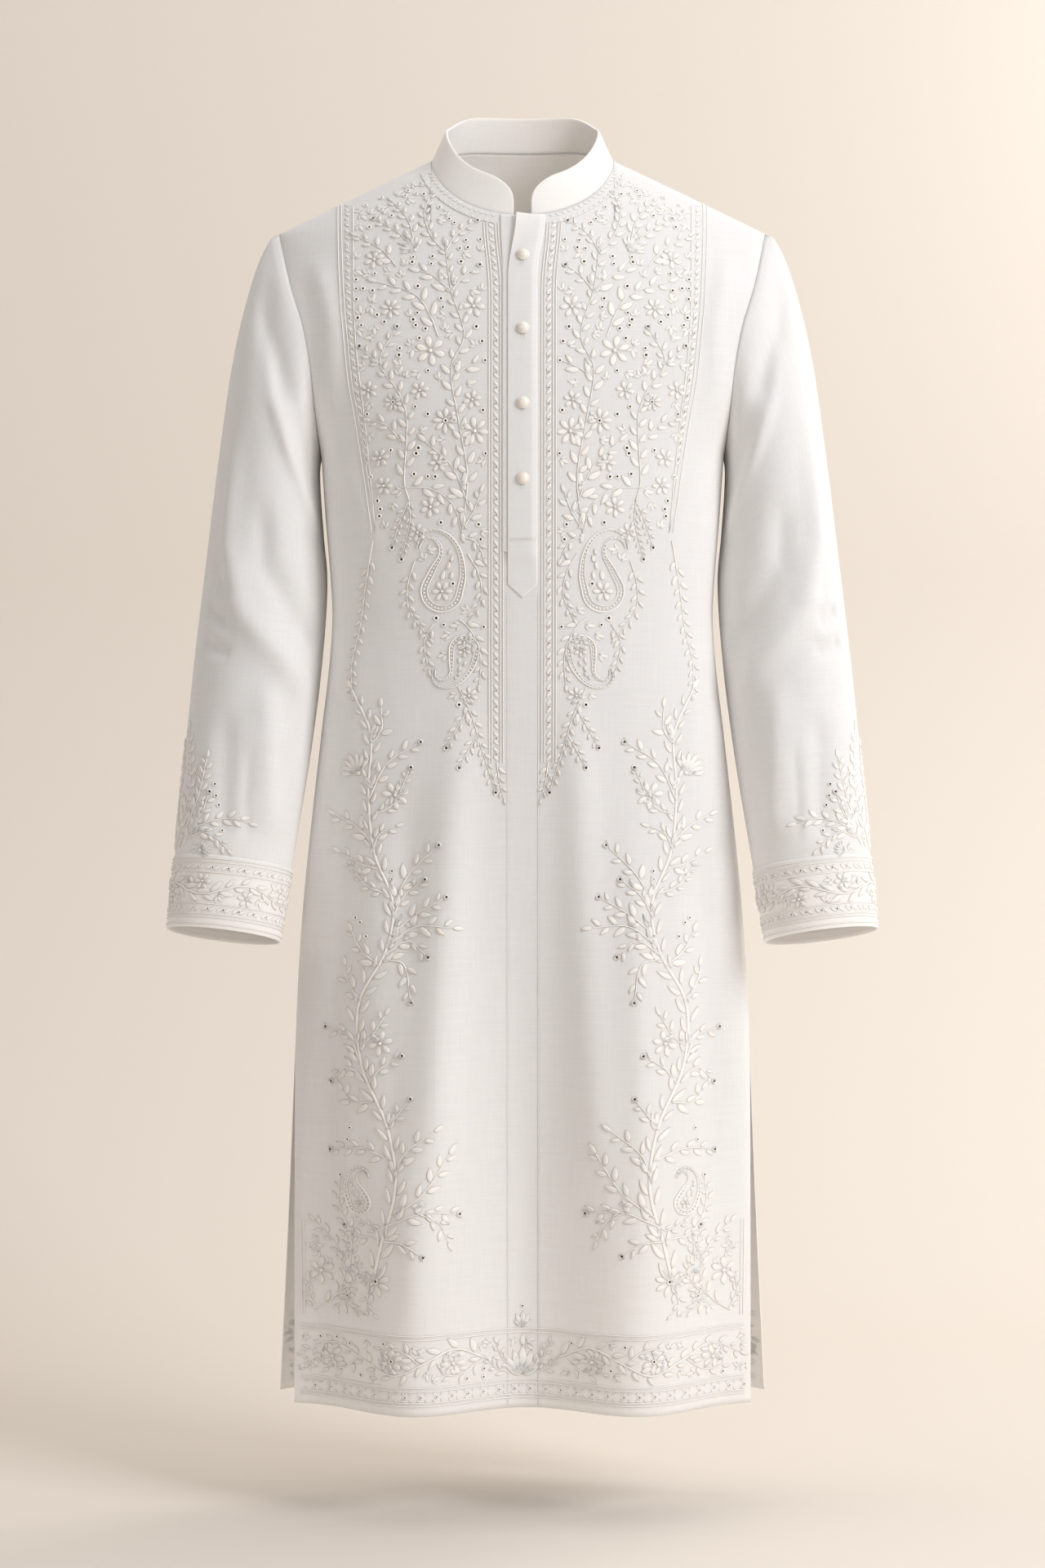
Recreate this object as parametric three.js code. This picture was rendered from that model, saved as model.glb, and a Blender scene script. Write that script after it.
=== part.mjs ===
// A man's chikankari kurta, standing filled out as it is worn, with nobody in it. Front, back, sleeves, cuff bands,
// band collar and the two strips of the front placket are walls of cloth, and four domed buttons close the placket.
// Millimetres. +Z is up, the front faces -Y and the garment's left sleeve is at +X. The origin is the middle of the
// neck, at the height where the shoulder seams meet the collar.
import * as THREE from "three";

// Cloth and seams
const CLOTH = 1.5; // wall of the panels and sleeves
const BAND_WALL = 2; // wall of the collar and of the cuff bands, which are doubled
const STRIP_WALL = 1; // wall of the placket strips
const SEAM = 0.3; // parting between two pieces that are sewn together
const SLEEVE_SEAM = 0.8; // the same where the sleeve is set in, measured along X
const STRIP_SEAM = 0.5; // the same between the placket's strips and the curved front

// Heights
const TIP_Z = -62; // shoulder tip, where the sleeve is set in
const ARMPIT_Z = -255;
const OPENING_Z = -337; // lower end of the front opening
const SLIT_Z = -705; // top of the side slits
const HEM_Z = -1058;

// Neck and shoulders
const NECK = 77.7; // half the width of the neck
const SHOULDER = 208; // half the width across the shoulders
const SLOPE = 0.485; // fall of the shoulder for each millimetre outwards
const CREST = 25; // rounding of the shoulder line over the middle
const NECK_DROP = 57; // fall of the neckline at the middle of the front
const NECK_BACK = 48; // reach of the neckline towards the back
const NAPE = 15.2; // height of the neckline at the nape

// Body form
const ROUND = 0.72; // below 1 the front and back are flatter than an ellipse
const ARMHOLE_TUCK = 0.32; // how far the armhole edges stay short of the side
const SLIT_TUCK = { front: 0.2, back: 0.16 }; // the same at the hem, where the slits hang open
const RISE = { front: 1.1, back: 0.85 }; // how the chest and the back come up to the shoulder

const BODY = [
  { z: -62, frontHalf: 208, backHalf: 208, front: 104, back: 101 },
  { z: -110, frontHalf: 197, backHalf: 197, front: 104, back: 101 },
  { z: -145, frontHalf: 186, backHalf: 186, front: 104, back: 101 },
  { z: -177, frontHalf: 179.5, backHalf: 179.5, front: 104, back: 101 },
  { z: -212, frontHalf: 176, backHalf: 176, front: 104, back: 101 },
  { z: -255, frontHalf: 172, backHalf: 172, front: 104, back: 100 },
  { z: -305, frontHalf: 168.5, backHalf: 168.5, front: 103, back: 94 },
  { z: -360, frontHalf: 164, backHalf: 164, front: 100, back: 86 },
  { z: -392, frontHalf: 162.5, backHalf: 162.5, front: 98, back: 82 },
  { z: -435, frontHalf: 165.5, backHalf: 165.5, front: 96, back: 80 },
  { z: -490, frontHalf: 172, backHalf: 172, front: 94, back: 84 },
  { z: -618, frontHalf: 186, backHalf: 186, front: 90, back: 98 },
  { z: -691, frontHalf: 191.5, backHalf: 191.5, front: 87, back: 100 },
  { z: -760, frontHalf: 194, backHalf: 195.5, front: 84, back: 99 },
  { z: -900, frontHalf: 194, backHalf: 202, front: 78, back: 94 },
  { z: -1058, frontHalf: 193.5, backHalf: 210, front: 73, back: 88 },
];

// Sleeve sections, measured along the sleeve: the outermost and the innermost point, and the middle and half the depth.
const SLEEVE = [
  { along: 0, outX: 208, outZ: -62, inX: 172, inZ: -255, midY: 0, deep: 51 },
  { along: 8, outX: 215.5, outZ: -66, inX: 173.2, inZ: -261, midY: 0, deep: 53 },
  { along: 45, outX: 229.5, outZ: -96, inX: 173.6, inZ: -271, midY: 0, deep: 58 },
  { along: 110, outX: 246, outZ: -160, inX: 172.6, inZ: -292, midY: 1, deep: 63 },
  { along: 190, outX: 259, outZ: -245, inX: 170.3, inZ: -323, midY: 2, deep: 65 },
  { along: 270, outX: 270, outZ: -335, inX: 167.3, inZ: -366, midY: 0, deep: 63 },
  { along: 350, outX: 280, outZ: -425, inX: 172, inZ: -437, midY: -8, deep: 60 },
  { along: 425, outX: 286.5, outZ: -500, inX: 181, inZ: -512, midY: -21, deep: 56 },
  { along: 505, outX: 293, outZ: -578, inX: 193, inZ: -590, midY: -35, deep: 50 },
  { along: 522, outX: 294.3, outZ: -595, inX: 195.5, inZ: -606, midY: -38, deep: 48.5 },
  { along: 583, outX: 299.5, outZ: -656, inX: 205, inZ: -667, midY: -48, deep: 43 },
];
const CAP = 150; // length over which the sleeve's head takes the armhole's shape
const CUFF_TOP = 522; // where the cuff band starts
const CUFF_END = 583;
const CUFF_STANDS = 0.8; // how far the cuff band stands out from the sleeve
const CUFF_LEAN = 7.5; // fall of a cuff's back edge below its middle, as the forearm points forwards
const SLEEVE_RADIUS = 60; // turns an angle round the sleeve into a length for the folds

// Collar
const COLLAR_TALL = { front: 31.5, back: 29 };
const CORNER_LOW = 12; // height of the straight part of the collar's end
const CORNER_LONG = 27; // length of the rounding of the collar's end
const COLLAR_LEAN = { front: 3, side: 12.5, back: 8 }; // how far the top edge stands inside the seam
const COLLAR_DIP = { deep: 6, wide: 0.23 }; // fall of the top edge at the sides, and the share of the turn it takes
const NECK_MIDDLE_Y = -12;
const NECK_COLUMNS = 6;

// Placket and buttons
const SLOT = 0.036; // half the width of the front opening, as a share of the panel's half width
const PLACKET = { left: -12, right: 12.3, square: -368, point: -379 };
const UNDER = { left: -16.5, right: 7 };
const PLACKET_SPREAD = 7; // how far the open top of the placket swings to the side
const SPREAD_FROM = -112;
const STRIP_DROP = 1; // the strips end this far below the collar's seam
const UNDER_END = -341; // lower end of the strip under the placket
const PLACKET_LIFT = 3; // how far the placket's free corner stands off at the neck
const BUTTON = { x: 0.7, top: -93.5, step: 62.3, count: 4, radius: 5.2, tall: 4.4 };

// Folds on the front, as lines of x and z on the panel; those of the back lie the same way.
const HEM_WAVE = { half: 98, shift: 3, deep: 27, lift: 8, from: -430 };
const BACK_WAVE = { half: 78, shift: -6, deep: 13, lift: 0, from: -480 };
const FRONT_FOLDS = [
  { line: [[-192, -95], [-178, -170], [-171, -250]], wide: 9, high: -5 },
  { line: [[-176, -85], [-162, -150], [-166, -235]], wide: 9, high: 5 },
  { line: [[-160, -300], [-148, -420], [-140, -560]], wide: 13, high: 4 },
  { line: [[-146, -470], [-150, -640], [-160, -860]], wide: 12, high: -4 },
  { line: [[-150, -690], [-147, -840], [-150, -990]], wide: 9, high: 4 },
  { line: [[176, -85], [164, -150], [167, -235]], wide: 9, high: 5 },
  { line: [[158, -290], [150, -420], [146, -600]], wide: 13, high: 4 },
  { line: [[150, -520], [156, -700], [164, -900]], wide: 12, high: -4 },
  { line: [[-50, -430], [-62, -640], [-72, -820], [-92, -1010]], wide: 19, high: 7 },
  { line: [[-92, -520], [-100, -700], [-106, -880]], wide: 17, high: -6 },
  { line: [[44, -450], [50, -660], [62, -900]], wide: 17, high: 6 },
];
const BACK_FOLDS = [
  { line: [[-178, -90], [-164, -160], [-167, -240]], wide: 10, high: 5 },
  { line: [[178, -90], [166, -160], [167, -240]], wide: 10, high: 5 },
  { line: [[-120, -330], [-70, -400], [0, -420]], wide: 14, high: 5 },
  { line: [[126, -320], [74, -384], [10, -400]], wide: 14, high: 5 },
  { line: [[-112, -470], [-120, -640], [-132, -880]], wide: 16, high: 5 },
  { line: [[106, -450], [118, -660], [124, -930]], wide: 16, high: 5 },
];
// Folds on a sleeve, as lines of an angle (0 at the outer side, 90 at the front) and z.
const SLEEVE_FOLDS = [
  { line: [[52, -80], [66, -100], [100, -150], [158, -215]], wide: 11, high: 6 },
  { line: [[36, -100], [62, -150], [100, -215], [150, -290]], wide: 10, high: -5 },
  { line: [[86, -200], [118, -255], [158, -325]], wide: 11, high: 5 },
  { line: [[48, -215], [52, -330], [76, -390], [112, -425], [156, -470]], wide: 13, high: 7 },
  { line: [[84, -290], [92, -350], [126, -395], [160, -420]], wide: 12, high: -5 },
  { line: [[34, -385], [48, -392], [64, -398]], wide: 6, high: -3 },
  { line: [[34, -412], [50, -420], [70, -424]], wide: 6, high: -3 },
  { line: [[104, -440], [116, -520], [130, -585]], wide: 13, high: 5 },
  { line: [[70, -470], [78, -540], [84, -590]], wide: 12, high: -4 },
  { line: [[322, -110], [292, -180], [238, -255]], wide: 12, high: 5 },
  { line: [[300, -250], [262, -330], [214, -392]], wide: 12, high: 5 },
  { line: [[318, -400], [284, -424], [236, -436]], wide: 9, high: 6 },
  { line: [[312, -436], [280, -462], [240, -470]], wide: 9, high: -5 },
];

const FRONT = -1;
const BACK = 1;
const UPPER_ROWS = 12; // rows from the shoulder to the armpit, and half the columns round a sleeve
const QUARTER = Math.PI / 2;
const clamp = (value, low, high) => Math.min(high, Math.max(low, value));
const mix = (a, b, share) => a + (b - a) * share;
const smooth = (share) => share * share * (3 - 2 * share);
const steps = (from, to, count) => Array.from({ length: count }, (_, i) => mix(from, to, (i + 1) / count));

// A table's column as a smooth curve over another of its columns, held at its ends.
function curve(table, by, key) {
  const direction = Math.sign(table[1][by] - table[0][by]);
  const slope = (i) => {
    const a = table[Math.max(i - 1, 0)];
    const b = table[Math.min(i + 1, table.length - 1)];
    return (b[key] - a[key]) / (b[by] - a[by]);
  };
  return (at) => {
    if ((at - table[0][by]) * direction <= 0) return table[0][key];
    const i = table.findIndex((row) => (at - row[by]) * direction < 0) - 1;
    if (i < 0) return table[table.length - 1][key];
    const long = table[i + 1][by] - table[i][by];
    const t = (at - table[i][by]) / long;
    const [a, b] = [table[i][key], table[i + 1][key]];
    const [s, e] = [slope(i) * long, slope(i + 1) * long];
    return a + t * (s + t * (3 * (b - a) - 2 * s - e + t * (2 * (a - b) + s + e)));
  };
}

// The height of a fold at a point of the flattened panel: a soft ridge along its line, dying out at both ends.
function foldHeight(fold, a, b) {
  let near = Infinity;
  let along = 0;
  const last = fold.line.length - 1;
  for (let i = 0; i < last; i++) {
    const [ax, bx] = [fold.line[i], fold.line[i + 1]];
    const [dx, dy] = [bx[0] - ax[0], bx[1] - ax[1]];
    const t = clamp(((a - ax[0]) * dx + (b - ax[1]) * dy) / (dx * dx + dy * dy), 0, 1);
    const away = Math.hypot(a - ax[0] - t * dx, b - ax[1] - t * dy);
    if (away < near) {
      near = away;
      along = (i + t) / last;
    }
  }
  const ends = smooth(clamp(Math.min(along, 1 - along) * 4 + 0.15, 0, 1));
  return fold.high * ends * Math.exp(-((near / fold.wide) ** 2));
}

const half = { [FRONT]: curve(BODY, "z", "frontHalf"), [BACK]: curve(BODY, "z", "backHalf") };
const depth = { [FRONT]: curve(BODY, "z", "front"), [BACK]: curve(BODY, "z", "back") };
const named = (side) => (side === FRONT ? "front" : "back");

// The angle down from the shoulder line at which the back's neckline lies, inside the neck.
function napeAngle(x) {
  const round = Math.sqrt(Math.max(0, 1 - (x / NECK) ** 2));
  const full = depth[BACK](ARMPIT_Z) * (1 - (x / SHOULDER) ** 2) ** (ROUND / 2);
  return Math.asin(((NECK_BACK * round ** 0.9) / full) ** (1 / RISE.back));
}

// The shoulder line's height over x. Inside the neck it only guides the form of the cloth below.
function crest(side, x) {
  if (side === BACK && Math.abs(x) < NECK) {
    const level = NAPE * (1 - (x / NECK) ** 6) ** 1.5;
    const fall = Math.cos(napeAngle(x));
    return (level - ARMPIT_Z * (1 - fall)) / fall;
  }
  return SLOPE * (Math.hypot(NECK, CREST) - Math.hypot(x, CREST));
}

// How far round to the side the panel reaches: 1 at the side seam, less at the armhole and beside the slit.
function reach(side, z) {
  if (z > ARMPIT_Z) {
    const t = clamp((TIP_Z - z) / (TIP_Z - ARMPIT_Z), 0, 1);
    return 1 - ARMHOLE_TUCK * Math.sin(Math.PI * t) ** 0.8;
  }
  return 1 - SLIT_TUCK[named(side)] * clamp((SLIT_Z - z) / (SLIT_Z - HEM_Z), 0, 1);
}

// The waves and creases of a panel, as a distance outwards.
function bodyFolds(side, x, z) {
  const wave = side === FRONT ? HEM_WAVE : BACK_WAVE;
  const folds = side === FRONT ? FRONT_FOLDS : BACK_FOLDS;
  const grows = smooth(clamp((wave.from - z) / (wave.from - HEM_Z), 0, 1)) ** 0.8;
  const swing = wave.lift - wave.deep * Math.cos((Math.PI * (x - wave.shift)) / wave.half);
  const edge = 1 - (Math.abs(x) / half[side](z)) ** 6;
  return edge * folds.reduce((sum, fold) => sum + foldHeight(fold, x, z), grows * swing);
}

// A point of the body's outer face. share runs from -1 to 1 across the panel.
function body(side, share, z) {
  const top = crest(side, share * SHOULDER);
  const wide = half[side](z);
  const turn = Math.sin(reach(side, z) * QUARTER);
  const round = Math.max(0, 1 - (share * turn) ** 2) ** (ROUND / 2);
  const drop = clamp((top - z) / (top - ARMPIT_Z), 0, 1);
  const rise = z > ARMPIT_Z ? Math.sin(Math.acos(1 - drop)) ** RISE[named(side)] : 1;
  const out = depth[side](z) * rise * round + SEAM / 2 + bodyFolds(side, share * wide, z);
  return new THREE.Vector3(share * wide, side * out, z);
}

// The angle down from the shoulder line at which a column of the panel starts: on the seam or on the neckline.
function startAngle(side, share) {
  const x = share * SHOULDER;
  if (Math.abs(x) >= NECK - 1e-6) return 0;
  if (side === BACK) return napeAngle(x);
  const top = crest(side, x);
  return Math.acos(1 - (top + NECK_DROP * Math.sqrt(1 - (x / NECK) ** 2)) / (top - ARMPIT_Z));
}

// The height of a column at an angle down from the shoulder line.
function heightAt(side, share, angle) {
  const top = crest(side, share * SHOULDER);
  return top - (top - ARMPIT_Z) * (1 - Math.cos(angle));
}

// A wall of cloth from a grid of outer points: its outer face, an inner face set in by the wall, and its edges.
function wall(points, { thick = CLOTH, closed = false, inwardsAt, open = () => false }) {
  const rows = points.length;
  const columns = points[0].length;
  const across = closed ? columns : columns - 1;
  const wrap = (i) => (closed ? (i + columns) % columns : clamp(i, 0, columns - 1));
  const fromGrid = (i, j) => {
    const along = new THREE.Vector3().subVectors(points[j][wrap(i + 1)], points[j][wrap(i - 1)]);
    const [above, below] = [points[Math.max(j - 1, 0)][i], points[Math.min(j + 1, rows - 1)][i]];
    return along.cross(new THREE.Vector3().subVectors(below, above)).normalize();
  };
  const inwards = inwardsAt ?? fromGrid;
  const inner = points.map((row, j) => row.map((point, i) => point.clone().addScaledVector(inwards(i, j), thick)));
  const kept = (i, j) => {
    if (j < 0 || j >= rows - 1 || (!closed && (i < 0 || i >= across))) return false;
    return !open((i + across) % across, j);
  };
  const outerAt = (i, j) => j * columns + wrap(i);
  const innerAt = (i, j) => rows * columns + j * columns + wrap(i);
  const index = [];
  const quad = (a, b, c, d) => index.push(a, b, c, a, c, d);
  for (let j = 0; j < rows - 1; j++)
    for (let i = 0; i < across; i++) {
      if (!kept(i, j)) continue;
      quad(outerAt(i, j), outerAt(i, j + 1), outerAt(i + 1, j + 1), outerAt(i + 1, j));
      quad(innerAt(i, j), innerAt(i + 1, j), innerAt(i + 1, j + 1), innerAt(i, j + 1));
      if (!kept(i, j - 1)) quad(outerAt(i + 1, j), innerAt(i + 1, j), innerAt(i, j), outerAt(i, j));
      if (!kept(i, j + 1)) quad(outerAt(i, j + 1), innerAt(i, j + 1), innerAt(i + 1, j + 1), outerAt(i + 1, j + 1));
      if (!kept(i - 1, j)) quad(outerAt(i, j), innerAt(i, j), innerAt(i, j + 1), outerAt(i, j + 1));
      if (!kept(i + 1, j))
        quad(outerAt(i + 1, j + 1), innerAt(i + 1, j + 1), innerAt(i + 1, j), outerAt(i + 1, j));
    }
  const all = [...points.flat(), ...inner.flat()];
  const used = [...new Set(index)].sort((a, b) => a - b);
  const place = new Map(used.map((old, now) => [old, now]));
  const geometry = new THREE.BufferGeometry();
  geometry.setAttribute("position", new THREE.Float32BufferAttribute(used.flatMap((i) => all[i].toArray()), 3));
  geometry.setIndex(index.map((i) => place.get(i)));
  geometry.computeVertexNormals();
  return geometry;
}

// The columns of a panel under one half of the neckline, as shares of its half width.
function neckShares(side) {
  const start = side === FRONT ? Math.asin((SLOT * SHOULDER) / NECK) : 0;
  return [start, ...steps(start, QUARTER, NECK_COLUMNS)].map((angle) => (NECK / SHOULDER) * Math.sin(angle));
}

// A body panel. Its columns run from the shoulder seam or the neckline to the hem.
function panel(side, { sideColumns, openRows, lowerRows }) {
  const shares = [
    ...(side === FRONT ? [0] : []),
    ...neckShares(side),
    ...steps(Math.asin(NECK / SHOULDER), QUARTER, sideColumns).map(Math.sin),
  ];
  const columns = [...shares.slice(1).reverse().map((share) => -share), ...shares];
  // The upper rows meet the armhole where the sleeve's own points lie, so that the seam is even.
  const upper = Array.from({ length: UPPER_ROWS + 1 }, (_, j) => {
    const t = Math.acos(Math.cos((QUARTER * j) / UPPER_ROWS) ** 2) / QUARTER;
    return (share) => ({ angle: mix(startAngle(side, share), QUARTER, t) });
  });
  const lower = [...steps(ARMPIT_Z, OPENING_Z, openRows), ...steps(OPENING_Z, HEM_Z, lowerRows)];
  const rows = [...upper, ...lower.map((z) => () => ({ angle: QUARTER, z }))];
  // Seen from outside, the columns of both panels run from left to right.
  if (side === BACK) columns.reverse();
  const at = (share, { angle, z }) => body(side, share, z ?? heightAt(side, share, angle));
  const points = rows.map((row) => columns.map((share) => at(share, row(share))));
  const inwardsAt = (i, j) => {
    const share = columns[i];
    const place = rows[j](share);
    const low = place.z === undefined ? { angle: place.angle + 0.04 } : { angle: QUARTER, z: place.z - 1 };
    const high = place.z === undefined ? { angle: Math.max(place.angle - 0.04, 0) } : { angle: QUARTER, z: place.z + 1 };
    const across = at(Math.min(share + 0.004, 1), place).sub(at(Math.max(share - 0.004, -1), place));
    const inwards = across.cross(at(share, low).sub(at(share, high))).multiplyScalar(-side).normalize();
    // Along a seam between the front and the back the wall stays square to the seam.
    if (Math.abs(points[j][i].y) < 1) inwards.setY(0).normalize();
    return inwards;
  };
  const middle = shares.length - 1;
  const opening = (i, j) => side === FRONT && (i === middle - 1 || i === middle) && j < UPPER_ROWS + openRows;
  return wall(points, { inwardsAt, open: opening });
}

const section = Object.fromEntries(
  Object.keys(SLEEVE[0]).map((key) => [key, curve(SLEEVE, "along", key)]),
);

// A point of a sleeve's outer face. hand is -1 or 1, and turn is the angle round it: 0 at the outer side, 90 degrees
// at the front.
function sleeve(hand, turn, along, stands = 0) {
  const oval = (at) => {
    const out = (1 + Math.cos(turn)) / 2;
    return new THREE.Vector3(
      mix(section.inX(at), section.outX(at), out),
      section.midY(at) - section.deep(at) * Math.sin(turn),
      mix(section.inZ(at), section.outZ(at), out),
    );
  };
  const point = oval(along);
  const blend = 1 - smooth(clamp(along / CAP, 0, 1));
  if (blend > 0) {
    const z = mix(ARMPIT_Z, TIP_Z, (1 + Math.cos(turn)) / 2);
    const hole = body(Math.sin(turn) >= 0 ? FRONT : BACK, 1, z).add(new THREE.Vector3(SLEEVE_SEAM, 0, 0));
    if (Math.abs(hole.y) < SEAM) hole.y = 0;
    point.addScaledVector(hole.sub(oval(0)), blend);
  }
  const lean = smooth(clamp((along - CUFF_TOP / 2) / (CUFF_END - CUFF_TOP / 2), 0, 1));
  point.z += CUFF_LEAN * lean * Math.sin(turn);
  const middle = new THREE.Vector3(
    (section.inX(along) + section.outX(along)) / 2,
    section.midY(along),
    (section.inZ(along) + section.outZ(along)) / 2,
  );
  const degrees = THREE.MathUtils.euclideanModulo(THREE.MathUtils.radToDeg(turn), 360);
  const flat = THREE.MathUtils.degToRad(degrees) * SLEEVE_RADIUS;
  const height = SLEEVE_FOLDS.reduce((sum, { line, wide, high }) => {
    const laid = line.map(([angle, z]) => [THREE.MathUtils.degToRad(angle) * SLEEVE_RADIUS, z]);
    return sum + foldHeight({ line: laid, wide, high }, flat, point.z);
  }, 0);
  const calm = smooth(clamp(along / 30, 0, 1)) * smooth(clamp((CUFF_TOP - along) / 40, 0, 1));
  point.addScaledVector(point.clone().sub(middle).normalize(), height * calm + stands);
  point.x *= hand;
  return point;
}

// A length of sleeve or cuff band, as a tube of cloth open at both ends.
function tube(hand, lengths, options) {
  // Seen from outside, the columns run from left to right on either hand.
  const turns = Array.from({ length: 2 * UPPER_ROWS }, (_, i) => (-hand * i * Math.PI) / UPPER_ROWS);
  const points = lengths.map((along) => turns.map((turn) => sleeve(hand, turn, along, options.stands)));
  return wall(points, { ...options, closed: true });
}

// The neckline as the panels make it, from the right side of the front opening round the back to its left.
function neckline() {
  const onPanel = (side, share) => body(side, share, heightAt(side, share, startAngle(side, share)));
  const half = (side, sign) => neckShares(side).slice(0, -1).map((share) => onPanel(side, sign * share));
  const seam = (sign) => onPanel(FRONT, (sign * NECK) / SHOULDER).setY(0);
  const backRight = half(BACK, 1).reverse();
  return [...half(FRONT, 1), seam(1), ...backRight, ...half(BACK, -1).slice(1), seam(-1), ...half(FRONT, -1).reverse()];
}

// The band collar: it stands on the neckline, leans in, and its two front ends are rounded.
function collar() {
  const ring = neckline();
  const cuts = ring.slice(1).map((_, i) => (i < 2 || i > ring.length - 4 ? 4 : 2));
  const bases = [ring[0]];
  cuts.forEach((count, i) => {
    for (let k = 1; k <= count; k++) bases.push(ring[i].clone().lerp(ring[i + 1], k / count));
  });
  const lengths = bases.map((base, i) => (i ? base.distanceTo(bases[i - 1]) : 0));
  const fromStart = lengths.map((_, i) => lengths.slice(0, i + 1).reduce((a, b) => a + b));
  const whole = fromStart[fromStart.length - 1];
  const columns = bases.map((base, i) => {
    const inwards = new THREE.Vector3(-base.x, NECK_MIDDLE_Y - base.y, 0).normalize();
    const lean = mix(COLLAR_LEAN.side, inwards.y > 0 ? COLLAR_LEAN.front : COLLAR_LEAN.back, inwards.y ** 2);
    const dip = COLLAR_DIP.deep * Math.exp(-((inwards.y / COLLAR_DIP.wide) ** 2));
    const full = mix(COLLAR_TALL.back, COLLAR_TALL.front, (1 + inwards.y) / 2) - dip;
    const end = clamp(Math.min(fromStart[i], whole - fromStart[i]) / CORNER_LONG, 0, 1);
    const tall = CORNER_LOW + (full - CORNER_LOW) * Math.sqrt(1 - (1 - end) ** 2);
    return [1, 0.66, 0.33, 0].map((share) => {
      const up = share * tall;
      return base
        .clone()
        .add(new THREE.Vector3(0, 0, SEAM + up))
        .addScaledVector(inwards, (lean * up) / full);
    });
  });
  const points = [0, 1, 2, 3].map((row) => columns.map((column) => column[row]));
  return wall(points, { thick: BAND_WALL });
}

// How far the open top of the placket swings aside at a height.
const swing = (z) => PLACKET_SPREAD * smooth(clamp((z - SPREAD_FROM) / (-NECK_DROP - SPREAD_FROM), 0, 1));

// A point that stands off the front panel.
function onFront(x, z, off) {
  const share = x / half[FRONT](z);
  const point = body(FRONT, share, z);
  const nudge = 0.5;
  const along = body(FRONT, share + nudge / SHOULDER, z).sub(point);
  const down = body(FRONT, share, z - nudge).sub(point);
  return point.addScaledVector(down.cross(along).normalize(), off);
}

// The front edge of the neckline over x, where the strips end.
const neckHeight = (x) => -NECK_DROP * Math.sqrt(1 - Math.min(1, x / NECK) ** 2);

// The strip under the placket, sewn along the left side of the opening.
function underStrip() {
  const points = [0, ...steps(0, 1, 14)].map((t) =>
    [0, ...steps(0, 1, 3)].map((c) => {
      const x = mix(UNDER.left, UNDER.right, c);
      const z = mix(neckHeight(x) - STRIP_DROP, UNDER_END, t);
      return onFront(x - 0.25 * swing(z), z, STRIP_SEAM + STRIP_WALL);
    }),
  );
  return wall(points, { thick: STRIP_WALL });
}

// A point over the upper strip of the placket, by x on the strip before it swings aside.
function onPlacket(x, z, off) {
  const { left, right } = PLACKET;
  const over = smooth(clamp((right - x) / (right - UNDER.right), 0, 1));
  const below = smooth(clamp((UNDER_END - z) / 12, 0, 1));
  const free = smooth(clamp((z - SPREAD_FROM) / (-NECK_DROP - SPREAD_FROM), 0, 1));
  const lift = PLACKET_LIFT * free * (1 - (x - left) / (right - left)) ** 1.5;
  const lie = STRIP_SEAM + (STRIP_WALL + STRIP_SEAM) * over * (1 - below);
  return onFront(x + swing(z), z, lie + STRIP_WALL + lift + off);
}

// The upper strip of the placket, which buttons over the lower one and ends in a pointed tab.
function placketStrip() {
  const { left, right, square, point: tip } = PLACKET;
  const end = (x) => mix(tip, square, Math.abs(x - (left + right) / 2) / ((right - left) / 2));
  const rows = [
    ...[0, ...steps(0, 1, 12)].map((t) => (x) => mix(neckHeight(x) - STRIP_DROP, UNDER_END, 0.35 * t * t + 0.65 * t)),
    ...steps(0, 1, 3).map((t) => (x) => mix(UNDER_END, end(x), t)),
  ];
  const points = rows.map((row) =>
    [0, ...steps(0, 1, 6)].map((c) => onPlacket(mix(left, right, c), row(mix(left, right, c)), 0)),
  );
  return wall(points, { thick: STRIP_WALL });
}

// A domed pearl button with a narrow rim, turned about its own axis and set on the placket.
function button() {
  const { radius, tall } = BUTTON;
  const profile = [
    [0, 0],
    [radius * 0.8, 0],
    [radius, tall * 0.22],
    [radius * 0.94, tall * 0.5],
    [radius * 0.7, tall * 0.82],
    [radius * 0.36, tall * 0.97],
    [0, tall],
  ];
  return new THREE.LatheGeometry(profile.map(([x, y]) => new THREE.Vector2(x, y)), 14);
}

const COLOURS = { cotton: 0xf3f0eb, band: 0xf6f3ee, pearl: 0xf5f0e6 };
function material(name) {
  const pearl = name === "pearl";
  return new THREE.MeshStandardMaterial({ color: COLOURS[name], roughness: pearl ? 0.25 : 0.8, metalness: 0 });
}

const kurta = new THREE.Group();
function add(name, geometry, finish, parent = kurta) {
  const mesh = new THREE.Mesh(geometry, material(finish));
  mesh.name = name;
  parent.add(mesh);
  return mesh;
}

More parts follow.
